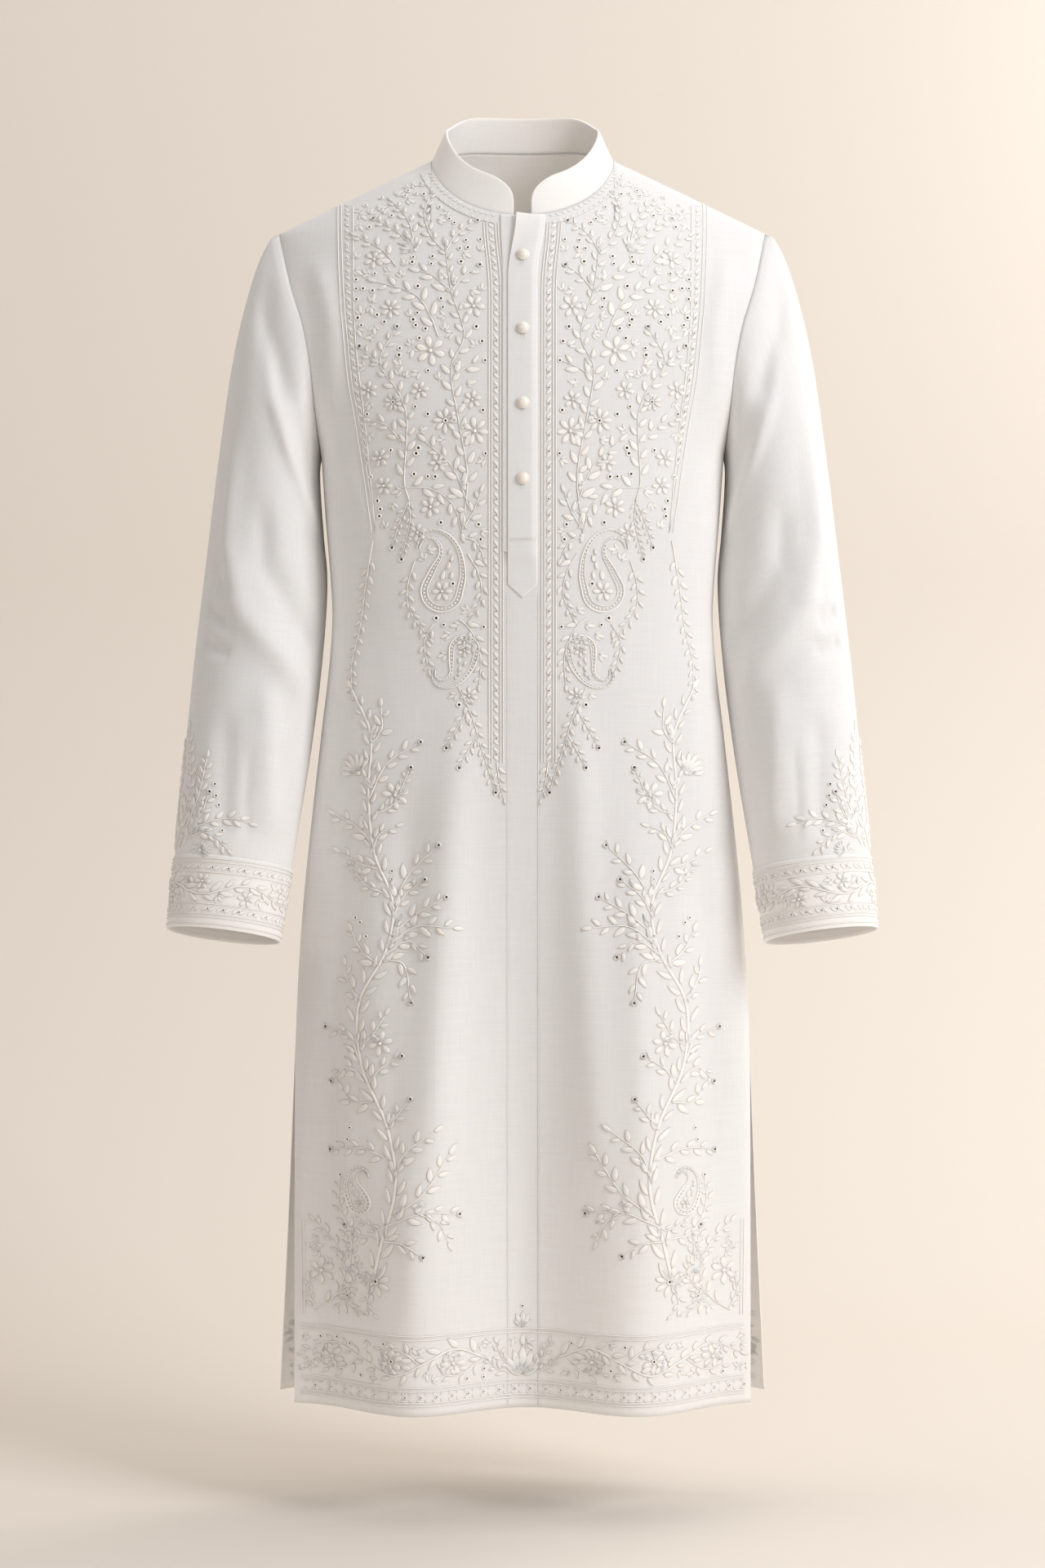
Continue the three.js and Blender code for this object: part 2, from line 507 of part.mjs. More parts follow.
add("front", panel(FRONT, { sideColumns: 9, openRows: 3, lowerRows: 17 }), "cotton");
add("back", panel(BACK, { sideColumns: 7, openRows: 2, lowerRows: 11 }), "cotton");
const sleeveRows = [0, ...steps(0, 45, 3), ...steps(45, 190, 4), ...steps(190, 425, 7), ...steps(425, CUFF_TOP - SEAM, 2)];
for (const [name, hand] of [["right", -1], ["left", 1]]) {
  add(`sleeve_${name}`, tube(hand, sleeveRows, {}), "cotton");
  const cuffRows = [CUFF_TOP + SEAM, ...steps(CUFF_TOP, CUFF_END, 3)];
  add(`cuff_${name}`, tube(hand, cuffRows, { stands: CUFF_STANDS, thick: BAND_WALL }), "cotton");
}
add("collar", collar(), "band");
add("placket_under", underStrip(), "band");
add("placket", placketStrip(), "band");
for (let i = 0; i < BUTTON.count; i++) {
  const z = BUTTON.top - BUTTON.step * i;
  const x = BUTTON.x - swing(z);
  const seat = onPlacket(x, z, STRIP_SEAM);
  const ahead = onPlacket(x, z, STRIP_SEAM + 1);
  const seated = new THREE.Group();
  seated.position.copy(seat);
  seated.quaternion.setFromUnitVectors(new THREE.Vector3(0, 1, 0), ahead.sub(seat).normalize());
  kurta.add(seated);
  add(`button_${i + 1}`, button(), "pearl", seated);
}

export default kurta;
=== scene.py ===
# A man's chikankari kurta in fine off-white cotton, filled out as it is worn with nobody in it, before a pale
# seamless backdrop. Sizes are in millimetres, in the frame of the solids, until a mesh is made; Blender's own
# are in metres.
import math
import random

import bmesh
import bpy
import numpy as np
from mathutils import Matrix, Vector


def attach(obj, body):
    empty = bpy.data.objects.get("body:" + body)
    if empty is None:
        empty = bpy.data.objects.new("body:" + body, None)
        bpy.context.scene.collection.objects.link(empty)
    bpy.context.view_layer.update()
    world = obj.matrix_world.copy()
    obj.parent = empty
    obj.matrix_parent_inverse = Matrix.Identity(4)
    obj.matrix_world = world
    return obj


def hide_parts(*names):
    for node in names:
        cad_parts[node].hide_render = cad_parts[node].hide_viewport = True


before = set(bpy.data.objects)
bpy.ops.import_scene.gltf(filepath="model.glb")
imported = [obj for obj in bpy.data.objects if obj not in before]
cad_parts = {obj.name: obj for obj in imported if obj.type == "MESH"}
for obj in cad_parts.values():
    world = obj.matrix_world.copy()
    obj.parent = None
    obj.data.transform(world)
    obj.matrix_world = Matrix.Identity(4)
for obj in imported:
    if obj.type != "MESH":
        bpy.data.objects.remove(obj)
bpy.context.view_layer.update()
MM = 0.001

# The camera. It stands three metres in front, at half the height of the picture, and looks level along the
# depth, so upright things stay upright. Its picture is 1.344 m tall in the plane of the side seams.
EYE_FAR = 3000
EYE_Z = -533.5
PICTURE_TALL = 1344
camera = bpy.data.objects.new("camera", bpy.data.cameras.new("camera"))
camera.data.sensor_fit = "VERTICAL"
camera.data.sensor_height = 36
camera.data.lens = 36 * EYE_FAR / PICTURE_TALL
camera.location = (0, -EYE_FAR * MM, EYE_Z * MM)
camera.rotation_euler = (math.pi / 2, 0, 0)
bpy.context.collection.objects.link(camera)
bpy.context.scene.camera = camera
bpy.context.scene.view_settings.view_transform = "Standard"


# The room: a matte paper sweep in warm beige that runs from the floor up behind the kurta. A large soft lamp
# stands at the viewer's right, a weak one hangs overhead, one behind lights the cloth's edges and insides,
# one lights the backdrop, and weak warm light comes from all round.
SWEEP = {"near": -4200, "bend": 900, "radius": 900, "top": 3200, "half": 4200, "floor": -1150, "steps": 24}
SWEEP_COLOUR = "#E4DED6"
ROOM_COLOUR = "#E6E0DB"
ROOM_STRENGTH = 0.72


def table(columns, *rows):
    """Rows of given values, each with the names of its columns."""
    return [dict(zip(columns.split(), row)) for row in rows]


LIGHTS = table(
    "name at aim size watts colour",
    ("key", (2450, -2150, 1100), (0, 0, -450), 1500, 73, "#FFFEFF"),
    ("overhead", (1300, -250, 2100), (0, 100, -900), 1700, 2, "#FFFBF6"),
    ("behind", (1500, 1400, 450), (0, 100, -350), 1100, 15, "#FFFBF6"),
    ("backdrop", (300, 300, 2600), (-200, 1900, -300), 1800, 13, "#FFFBF6"),
)


def linear(hex_colour):
    """An sRGB colour written as #RRGGBB, as the linear colour that a shader takes."""
    parts = [int(hex_colour[i : i + 2], 16) / 255 for i in (1, 3, 5)]
    return tuple(p / 12.92 if p <= 0.04045 else ((p + 0.055) / 1.055) ** 2.4 for p in parts) + (1,)


def node(tree, kind, inputs=None, **settings):
    """Adds a node with its settings; each input is a value or the socket that it takes its value from."""
    made = tree.nodes.new(kind)
    for key, value in settings.items():
        setattr(made, key, value)
    for key, value in (inputs or {}).items():
        if isinstance(value, bpy.types.NodeSocket):
            tree.links.new(value, made.inputs[key])
        else:
            made.inputs[key].default_value = value
    return made


def new_material(name):
    made = bpy.data.materials.new(name)
    made.use_nodes = True
    made.node_tree.nodes.clear()
    return made, made.node_tree


def finish_material(tree, inputs):
    shader = node(tree, "ShaderNodeBsdfPrincipled", inputs)
    node(tree, "ShaderNodeOutputMaterial", {"Surface": shader.outputs[0]})


def object_from(name, bm, materials):
    """Turns a bmesh in millimetres into an object at the origin."""
    bmesh.ops.scale(bm, vec=(MM, MM, MM), verts=bm.verts)
    for face in bm.faces:
        face.smooth = True
    mesh = bpy.data.meshes.new(name)
    bm.to_mesh(mesh)
    bm.free()
    for material in materials:
        mesh.materials.append(material)
    made = bpy.data.objects.new(name, mesh)
    bpy.context.collection.objects.link(made)
    return made


def paper():
    # Matte paper: even, with no gloss.
    made, tree = new_material("beige_paper")
    finish_material(tree, {"Base Color": linear(SWEEP_COLOUR), "Roughness": 0.95, "Specular IOR Level": 0.1})
    return made


def sweep():
    bend, radius, floor = SWEEP["bend"], SWEEP["radius"], SWEEP["floor"]
    profile = [(SWEEP["near"], floor), (bend, floor)]
    for angle in np.linspace(0, math.pi / 2, SWEEP["steps"] + 1)[1:]:
        profile.append((bend + radius * math.sin(angle), floor + radius * (1 - math.cos(angle))))
    profile.append((bend + radius, SWEEP["top"]))
    bm = bmesh.new()
    verts = [bm.verts.new((-SWEEP["half"], y, z)) for y, z in profile]
    edges = [bm.edges.new(pair) for pair in zip(verts, verts[1:])]
    made = bmesh.ops.extrude_edge_only(bm, edges=edges)
    moved = [item for item in made["geom"] if isinstance(item, bmesh.types.BMVert)]
    bmesh.ops.translate(bm, vec=(2 * SWEEP["half"], 0, 0), verts=moved)
    return object_from("sweep", bm, [paper()])


sweep()
for lamp in LIGHTS:
    light = bpy.data.lights.new(lamp["name"], "AREA")
    light.size = lamp["size"] * MM
    light.energy = lamp["watts"]
    light.color = linear(lamp["colour"])[:3]
    at, aim = Vector(lamp["at"]), Vector(lamp["aim"])
    holder = bpy.data.objects.new(lamp["name"], light)
    holder.location = at * MM
    holder.rotation_euler = (aim - at).to_track_quat("-Z", "Y").to_euler()
    bpy.context.collection.objects.link(holder)
world = bpy.data.worlds.new("room")
world.use_nodes = True
background = world.node_tree.nodes["Background"].inputs
background["Color"].default_value = linear(ROOM_COLOUR)
background["Strength"].default_value = ROOM_STRENGTH
bpy.context.scene.world = world


# The front: one panel of fine cotton lawn, cut on the fold, with a slot for the placket. It follows a general
# chest and hangs free below the waist, where it falls in two soft forward waves. Its sides are open below the
# slit.
NECK = 77.7
SHOULDER = 208
SLOPE = 0.485
CREST = 25
# How far the neckline hangs in front, how far back it lies behind and how high it rises there.
NECK_DROP = 57
NECK_BACK = 48
NAPE = 15.2
TIP_Z = -62
ARMPIT_Z = -255
OPENING_Z = -337
SLIT_Z = -705
HEM_Z = -1058
# Half the slot's width, as a share of the front's half width.
SLOT = 0.036
ROUND = 0.72
# How much less far round a panel reaches at the armhole and beside the slit, as shares.
ARMHOLE_TUCK = 0.32
SLIT_TUCK = {"front": 0.2, "back": 0.16}
RISE = {"front": 1.1, "back": 0.85}
OUT = {"front": -1, "back": 1}
SHELL = 0.9
BODY = table(
    "z front_half back_half front back",
    (-62, 208, 208, 104, 101), (-110, 197, 197, 104, 101), (-145, 186, 186, 104, 101),
    (-177, 179.5, 179.5, 104, 101), (-212, 176, 176, 104, 101), (-255, 172, 172, 104, 100),
    (-305, 168.5, 168.5, 103, 94), (-360, 164, 164, 100, 86), (-392, 162.5, 162.5, 98, 82),
    (-435, 165.5, 165.5, 96, 80), (-490, 172, 172, 94, 84), (-618, 186, 186, 90, 98),
    (-691, 191.5, 191.5, 87, 100), (-760, 194, 195.5, 84, 99), (-900, 194, 202, 78, 94),
    (-1058, 193.5, 210, 73, 88),
)
WAVE = {
    "front": {"half": 98, "shift": 3, "deep": 27, "lift": 8, "from": -430},
    "back": {"half": 78, "shift": -6, "deep": 13, "lift": 0, "from": -480},
}
# Creases, as lines of (x, z) on the panel. The first rows are the large folds of the solids, the others are
# finer.
FOLDS = {
    "front": table(
        "wide high line",
        (9, -5, [(-192, -95), (-178, -170), (-171, -250)]),
        (9, 5, [(-176, -85), (-162, -150), (-166, -235)]),
        (13, 4, [(-160, -300), (-148, -420), (-140, -560)]),
        (12, -4, [(-146, -470), (-150, -640), (-160, -860)]),
        (9, 4, [(-150, -690), (-147, -840), (-150, -990)]),
        (9, 5, [(176, -85), (164, -150), (167, -235)]),
        (13, 4, [(158, -290), (150, -420), (146, -600)]),
        (12, -4, [(150, -520), (156, -700), (164, -900)]),
        (19, 7, [(-50, -430), (-62, -640), (-72, -820), (-92, -1010)]),
        (17, -6, [(-92, -520), (-100, -700), (-106, -880)]),
        (17, 6, [(44, -450), (50, -660), (62, -900)]),
        (7, 1.8, [(-168, -240), (-140, -285), (-118, -345)]),
        (6, -1.6, [(-166, -270), (-142, -330), (-130, -400)]),
        (7, 1.6, [(167, -245), (141, -290), (120, -350)]),
        (11, 1.8, [(92, -560), (98, -760), (104, -960)]),
        (9, 1.5, [(-104, -620), (-98, -800), (-92, -1000)]),
    ),
    "back": table(
        "wide high line",
        (10, 5, [(-178, -90), (-164, -160), (-167, -240)]),
        (10, 5, [(178, -90), (166, -160), (167, -240)]),
        (14, 5, [(-120, -330), (-70, -400), (0, -420)]),
        (14, 5, [(126, -320), (74, -384), (10, -400)]),
        (16, 5, [(-112, -470), (-120, -640), (-132, -880)]),
        (16, 5, [(106, -450), (118, -660), (124, -930)]),
        (9, 2, [(-150, -120), (-120, -200), (-112, -290)]),
        (9, 2, [(148, -126), (122, -196), (110, -280)]),
        (12, 2, [(-40, -440), (-52, -640), (-48, -860)]),
        (12, -2, [(46, -460), (52, -690), (60, -930)]),
    ),
}


def curve(rows, by, key):
    """A table's column as a smooth curve over another of its columns, held at its ends."""
    ordered = sorted(rows, key=lambda row: row[by])
    knots = np.array([row[by] for row in ordered], float)
    values = np.array([row[key] for row in ordered], float)
    ends = np.clip(np.arange(len(knots))[:, None] + (-1, 1), 0, len(knots) - 1)
    slopes = (values[ends[:, 1]] - values[ends[:, 0]]) / (knots[ends[:, 1]] - knots[ends[:, 0]])

    def at(place):
        place = np.clip(place, knots[0], knots[-1])
        i = np.clip(np.searchsorted(knots, place, side="right") - 1, 0, len(knots) - 2)
        long = knots[i + 1] - knots[i]
        t = (place - knots[i]) / long
        a, b = values[i], values[i + 1]
        s, e = slopes[i] * long, slopes[i + 1] * long
        return a + t * (s + t * (3 * (b - a) - 2 * s - e + t * (2 * (a - b) + s + e)))

    return at


def smooth(share):
    share = np.clip(share, 0, 1)
    return share * share * (3 - 2 * share)


def fold_height(fold, a, b):
    """A soft ridge along a line of the flattened panel, dying out at both ends."""
    near = np.full(np.shape(a), 1e9)
    along = np.zeros(np.shape(a))
    line = fold["line"]
    last = len(line) - 1
    for i in range(last):
        dx, dy = line[i + 1][0] - line[i][0], line[i + 1][1] - line[i][1]
        t = np.clip(((a - line[i][0]) * dx + (b - line[i][1]) * dy) / (dx * dx + dy * dy), 0, 1)
        away = np.hypot(a - line[i][0] - t * dx, b - line[i][1] - t * dy)
        along = np.where(away < near, (i + t) / last, along)
        near = np.minimum(away, near)
    ends = smooth(np.minimum(along, 1 - along) * 4 + 0.15)
    return fold["high"] * ends * np.exp(-((near / fold["wide"]) ** 2))


half = {side: curve(BODY, "z", side + "_half") for side in OUT}
depth = {side: curve(BODY, "z", side) for side in OUT}


def nape_angle(x):
    """The angle down from the shoulder line at which the back's neckline lies, inside the neck."""
    rounded = np.sqrt(np.maximum(0, 1 - (x / NECK) ** 2))
    full = depth["back"](ARMPIT_Z) * (1 - (x / SHOULDER) ** 2) ** (ROUND / 2)
    return np.arcsin((NECK_BACK * rounded**0.9 / full) ** (1 / RISE["back"]))


def crest(side, x):
    """The shoulder line's height over x. Inside the neck it only guides the form of the cloth below."""
    outside = SLOPE * (math.hypot(NECK, CREST) - np.hypot(x, CREST))
    if side == "front":
        return outside
    inner = np.clip(x, -NECK, NECK)
    level = NAPE * np.maximum(0, 1 - (inner / NECK) ** 6) ** 1.5
    fall = np.cos(nape_angle(inner))
    return np.where(np.abs(x) < NECK, (level - ARMPIT_Z * (1 - fall)) / fall, outside)


def reach(side, z):
    """How far round to the side the panel reaches: less at the armhole and beside the slit."""
    t = np.clip((TIP_Z - z) / (TIP_Z - ARMPIT_Z), 0, 1)
    armhole = 1 - ARMHOLE_TUCK * np.sin(math.pi * t) ** 0.8
    slit = 1 - SLIT_TUCK[side] * np.clip((SLIT_Z - z) / (SLIT_Z - HEM_Z), 0, 1)
    return np.where(z > ARMPIT_Z, armhole, slit)


def body_folds(side, x, z):
    wave = WAVE[side]
    grows = smooth((wave["from"] - z) / (wave["from"] - HEM_Z)) ** 0.8
    total = grows * (wave["lift"] - wave["deep"] * np.cos(math.pi * (x - wave["shift"]) / wave["half"]))
    for fold in FOLDS[side]:
        total = total + fold_height(fold, x, z)
    return total * (1 - np.minimum(1, np.abs(x) / half[side](z)) ** 6)


def body(side, share, z):
    """Points of the body's outer face. share runs from -1 to 1 across the panel."""
    share, z = np.broadcast_arrays(np.asarray(share, float), np.asarray(z, float))
    top = crest(side, share * SHOULDER)
    wide = half[side](z)
    turn = np.sin(reach(side, z) * math.pi / 2)
    rounded = np.maximum(0, 1 - (share * turn) ** 2) ** (ROUND / 2)
    drop = np.clip((top - z) / (top - ARMPIT_Z), 0, 1)
    rise = np.where(z > ARMPIT_Z, np.sin(np.arccos(1 - drop)) ** RISE[side], 1)
    out = depth[side](z) * rise * rounded + body_folds(side, share * wide, z)
    return np.stack([share * wide, OUT[side] * out, z], -1)


def start_angle(side, share):
    """The angle down from the shoulder line at which a column starts: on the seam or on the neckline."""
    x = np.clip(np.asarray(share, float) * SHOULDER, -NECK, NECK)
    if side == "back":
        return nape_angle(x)
    top = crest(side, x)
    fall = np.clip((top + NECK_DROP * np.sqrt(1 - (x / NECK) ** 2)) / (top - ARMPIT_Z), 0, 1)
    return np.where(np.abs(x) < NECK - 1e-6, np.arccos(1 - fall), 0)


def height_at(side, share, angle):
    top = crest(side, np.asarray(share, float) * SHOULDER)
    return top - (top - ARMPIT_Z) * (1 - np.cos(angle))


WEAVE_PITCH = 1.1
GLOW = (1.0, 0.92, 0.82)


def cloth(name, colour, weave, crinkle, roughness=0.78):
    # Fine cotton lawn, woven and bleached: a soft off-white with a low bloom along edges and thin uneven
    # threads. The real threads lie 0.3 mm apart, too fine to show, so the weave is drawn coarser.
    made, tree = new_material(name)
    uv = node(tree, "ShaderNodeUVMap", uv_map="cloth").outputs[0]
    thread = 2 * math.pi / 20 / (WEAVE_PITCH * MM)
    bands = {"wave_type": "BANDS", "wave_profile": "SIN"}
    tune = {"Vector": uv, "Scale": thread, "Distortion": 1.2, "Detail": 1.0, "Detail Scale": 0.4}
    warp = node(tree, "ShaderNodeTexWave", tune, bands_direction="X", **bands)
    weft = node(tree, "ShaderNodeTexWave", tune, bands_direction="Y", **bands)
    crossed = {0: warp.outputs["Fac"], 1: weft.outputs["Fac"]}
    woven = node(tree, "ShaderNodeMath", crossed, operation="MAXIMUM")
    slubs = []
    for scale in ((900, 26, 1), (26, 900, 1)):
        laid = node(tree, "ShaderNodeMapping", {"Vector": uv, "Scale": scale})
        slub = node(tree, "ShaderNodeTexNoise", {"Vector": laid.outputs[0], "Scale": 1.0, "Detail": 2.0})
        slubs.append(slub.outputs["Fac"])
    both = node(tree, "ShaderNodeMath", {0: slubs[0], 1: slubs[1]}, operation="ADD")
    drawn = node(tree, "ShaderNodeMapping", {"Vector": uv, "Scale": (62, 20, 1)})
    crinkled = {"Vector": drawn.outputs[0], "Scale": 1.0, "Detail": 3.0, "Roughness": 0.55}
    soft = node(tree, "ShaderNodeTexNoise", crinkled)
    shade = node(tree, "ShaderNodeMapRange", {"Value": both.outputs[0], "From Min": 0.75, "From Max": 1.25})
    tone = node(tree, "ShaderNodeMixRGB", {0: shade.outputs[0], 1: linear(colour[0]), 2: linear(colour[1])})
    laid = {"Height": soft.outputs["Fac"], "Strength": crinkle, "Distance": 0.9 * MM}
    for height, deep in ((woven.outputs[0], 0.12), (both.outputs[0], 0.15)):
        threads = node(tree, "ShaderNodeBump", laid)
        laid = {"Height": height, "Strength": weave, "Distance": deep * MM, "Normal": threads.outputs[0]}
    threads = node(tree, "ShaderNodeBump", laid)
    # Light comes through the thin cloth, so its inside glows a little.
    finish_material(tree, {
        "Base Color": tone.outputs[0], "Roughness": roughness, "Normal": threads.outputs[0],
        "Specular IOR Level": 0.3, "Sheen Weight": 0.18, "Sheen Roughness": 0.4,
        "Subsurface Weight": 0.85, "Subsurface Radius": GLOW, "Subsurface Scale": 3 * MM,
    })
    return made


# Each piece takes its own place on the flat plane of the weave, so that no two show the same threads.
UV_APART = 1000
lawn = cloth("cotton_lawn", ("#EFEDEB", "#F4F2F0"), 0.2, 0.25)


def grid_cloth(name, points, flat, materials, closed=False, keep=None):
    """A sheet of cloth from a grid of outer points, rows from the top down and columns from left to right."""
    rows, columns = points.shape[:2]
    bm = bmesh.new()
    bmesh.ops.create_grid(bm, x_segments=columns - 1, y_segments=rows - 1, size=0.5)
    layer = bm.loops.layers.uv.new("cloth")
    spots = {}
    for vert in bm.verts:
        i = round((vert.co.x + 0.5) * (columns - 1))
        j = round((0.5 - vert.co.y) * (rows - 1))
        spots[vert] = (j, i)
    for face in bm.faces:
        for loop in face.loops:
            loop[layer].uv = flat[spots[loop.vert]] * MM
    gone = []
    if keep is not None:
        for face in bm.faces:
            j = min(spots[vert][0] for vert in face.verts)
            i = min(spots[vert][1] for vert in face.verts)
            if not keep[j, i]:
                gone.append(face)
    for vert, spot in spots.items():
        vert.co = points[spot]
    if gone:
        bmesh.ops.delete(bm, geom=gone, context="FACES")
    if closed:
        bmesh.ops.remove_doubles(bm, verts=bm.verts, dist=0.01)
    return object_from(name, bm, materials)


def thicken(piece, thick, rounding=0.0):
    wall = piece.modifiers.new("wall", "SOLIDIFY")
    wall.thickness = thick * MM
    wall.offset = -1
    wall.use_even_offset = False
    if rounding:
        edge = piece.modifiers.new("edge", "BEVEL")
        edge.width = rounding * MM
        edge.segments = 2
        edge.limit_method = "ANGLE"
        edge.angle_limit = math.radians(50)


def fasten(piece, stands_for):
    """Fixes a finished piece to the garment's one body, in the place of its solid."""
    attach(piece, "root")
    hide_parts(stands_for)
    return piece


def panel(side, neck_columns=22, side_columns=44, upper_rows=56, chest_rows=16, lower_rows=150):
    start = math.asin(SLOT * SHOULDER / NECK)
    neck = NECK / SHOULDER * np.sin(np.linspace(start, math.pi / 2, neck_columns + 1))
    outer = np.sin(np.linspace(math.asin(NECK / SHOULDER), math.pi / 2, side_columns + 1))[1:]
    right = np.concatenate([[0, SLOT / 2], neck, outer])
    shares = np.concatenate([-right[:0:-1], right])
    angles = start_angle(side, shares)[None, :]
    t = np.linspace(0, 1, upper_rows + 1)[:, None]
    upper = height_at(side, shares[None, :], angles + (math.pi / 2 - angles) * t)
    chest = np.linspace(ARMPIT_Z, OPENING_Z, chest_rows + 1)[1:]
    skirt = np.linspace(OPENING_Z, HEM_Z, lower_rows + 1)[1:]
    below = np.concatenate([chest, skirt])
    heights = np.concatenate([upper, np.repeat(below[:, None], len(shares), 1)])
    points = body(side, np.repeat(shares[None, :], len(heights), 0), heights)
    flat = np.stack([points[..., 0] + UV_APART * (side == "back"), points[..., 2]], -1)
    if side == "back":
        points, flat = points[:, ::-1], flat[:, ::-1]
    middle = len(right) - 1
    open_rows = upper_rows + chest_rows
    keep = np.ones((len(heights) - 1, len(shares) - 1), bool)
    if side == "front":
        keep[:open_rows, middle - 2 : middle + 2] = False
    made = grid_cloth(side + "_panel", points, flat, [lawn], keep=keep)
    thicken(made, SHELL)
    return fasten(made, side)


front = panel("front")


# The back: one panel of the same lawn, cut on the fold, without a yoke. It rises to the nape, lies in over
# the waist and hangs a little wider than the front, so that it shows beside it below the slits.
back = panel("back")


# The sleeves: one tube of lawn each, set into the armhole and bent a little forwards at the elbow. Drag folds
# run from the cap to the elbow, small creases cross its bend.
CAP = 150
CUFF_TOP = 522
CUFF_END = 583
CUFF_LEAN = 7.5
SLEEVE_RADIUS = 60
WEAVE_RADIUS = 50
SLEEVE = table(
    "along out_x out_z in_x in_z mid_y deep",
    (0, 208, -62, 172, -255, 0, 51), (8, 215.5, -66, 173.2, -261, 0, 53),
    (45, 229.5, -96, 173.6, -271, 0, 58), (110, 246, -160, 172.6, -292, 1, 63),
    (190, 259, -245, 170.3, -323, 2, 65), (270, 270, -335, 167.3, -366, 0, 63),
    (350, 280, -425, 172, -437, -8, 60), (425, 286.5, -500, 181, -512, -21, 56),
    (505, 293, -578, 193, -590, -35, 50), (522, 294.3, -595, 195.5, -606, -38, 48.5),
    (583, 299.5, -656, 205, -667, -48, 43),
)
# Folds, as lines of an angle (0 at the outer side, 90 at the front) and z. The finer ones come last.
SLEEVE_FOLDS = table(
    "wide high line",
    (11, 6, [(52, -80), (66, -100), (100, -150), (158, -215)]),
    (10, -5, [(36, -100), (62, -150), (100, -215), (150, -290)]),
    (11, 5, [(86, -200), (118, -255), (158, -325)]),
    (13, 7, [(48, -215), (52, -330), (76, -390), (112, -425), (156, -470)]),
    (12, -5, [(84, -290), (92, -350), (126, -395), (160, -420)]),
    (6, -3, [(34, -385), (48, -392), (64, -398)]),
    (6, -3, [(34, -412), (50, -420), (70, -424)]),
    (13, 5, [(104, -440), (116, -520), (130, -585)]),
    (12, -4, [(70, -470), (78, -540), (84, -590)]),
    (12, 5, [(322, -110), (292, -180), (238, -255)]),
    (12, 5, [(300, -250), (262, -330), (214, -392)]),
    (9, 6, [(318, -400), (284, -424), (236, -436)]),
    (9, -5, [(312, -436), (280, -462), (240, -470)]),
    (4, 1.6, [(28, -398), (46, -405), (66, -411)]),
    (4, 1.4, [(40, -372), (54, -378), (74, -384)]),
    (6, 2, [(60, -150), (84, -210), (122, -276)]),
    (6, -1.8, [(40, -260), (46, -340), (58, -380)]),
    (5, -1.6, [(96, -500), (100, -550), (108, -590)]),
)
section = {key: curve(SLEEVE, "along", key) for key in SLEEVE[0]}


def unit(vectors):
    return vectors / np.linalg.norm(vectors, axis=-1, keepdims=True)


def sleeve_point(hand, turn, along, stands=0.0):
    """Points of a sleeve's outer face; turn is 0 at the outer side and a quarter turn at the front."""
    turn, along = np.broadcast_arrays(np.asarray(turn, float), np.asarray(along, float))
    outer = (1 + np.cos(turn)) / 2

    def oval(at):
        x = section["in_x"](at) + (section["out_x"](at) - section["in_x"](at)) * outer
        z = section["in_z"](at) + (section["out_z"](at) - section["in_z"](at)) * outer
        return np.stack([x, section["mid_y"](at) - section["deep"](at) * np.sin(turn), z], -1)

    point = oval(along)
    blend = 1 - smooth(along / CAP)
    z = ARMPIT_Z + (TIP_Z - ARMPIT_Z) * outer
    hole = np.where((np.sin(turn) >= 0)[..., None], body("front", 1.0, z), body("back", 1.0, z))
    point = point + (hole - oval(np.zeros_like(along))) * blend[..., None]
    lean = smooth((along - CUFF_TOP / 2) / (CUFF_END - CUFF_TOP / 2))
    point[..., 2] += CUFF_LEAN * lean * np.sin(turn)
    middle = np.stack([
        (section["in_x"](along) + section["out_x"](along)) / 2,
        section["mid_y"](along),
        (section["in_z"](along) + section["out_z"](along)) / 2,
    ], -1)
    flat = np.mod(turn, 2 * math.pi) * SLEEVE_RADIUS
    height = 0
    for fold in SLEEVE_FOLDS:
        line = [(math.radians(angle) * SLEEVE_RADIUS, z) for angle, z in fold["line"]]
        height = height + fold_height({**fold, "line": line}, flat, point[..., 2])
    calm = smooth(along / 30) * smooth((CUFF_TOP - along) / 40)
    point = point + unit(point - middle) * (height * calm + stands)[..., None]
    point[..., 0] *= hand
    return point


def tube(name, hand, lengths, columns, materials, stands=0.0):
    turns = -hand * np.linspace(0, 2 * math.pi, columns + 1)
    across, down = np.meshgrid(turns, lengths)
    points = sleeve_point(hand, across, down, stands)
    points[:, -1] = points[:, 0]
    flat = np.stack([across * WEAVE_RADIUS + 2 * UV_APART * hand, -down], -1)
    return grid_cloth(name, points, flat, materials, closed=True)


HANDS = {"right": -1, "left": 1}
for name, hand in HANDS.items():
    made = tube(f"sleeve_{name}_tube", hand, np.linspace(0, CUFF_TOP + 6, 150), 112, [lawn])
    thicken(made, SHELL)
    fasten(made, f"sleeve_{name}")


# The cuff bands: a straight band of doubled lawn round each sleeve's end, pressed flat and a little stiffer,
# standing out by its own thickness over the sleeve.
CUFF_STANDS = 0.8
CUFF_THICK = 1.8
BAND_EDGE = 0.5
pressed = cloth("pressed_cotton", ("#F1EFED", "#F5F3F1"), 0.15, 0.1, roughness=0.72)
for name, hand in HANDS.items():
    made = tube(f"cuff_{name}_band", hand, np.linspace(CUFF_TOP, CUFF_END, 16), 112, [pressed], CUFF_STANDS)
    thicken(made, CUFF_THICK, BAND_EDGE)
    fasten(made, f"cuff_{name}")


# The collar: a band of doubled, pressed lawn sewn to the neckline, leaning in, with rounded front ends that
# stand a finger's width apart.
COLLAR_TALL = {"front": 31.5, "back": 29}
CORNER_LOW = 12
CORNER_LONG = 27
COLLAR_LEAN = {"front": 3, "side": 12.5, "back": 8}
COLLAR_DIP = {"deep": 6, "wide": 0.23}
NECK_MIDDLE_Y = -12
COLLAR_THICK = 1.9
COLLAR_ROWS = 11


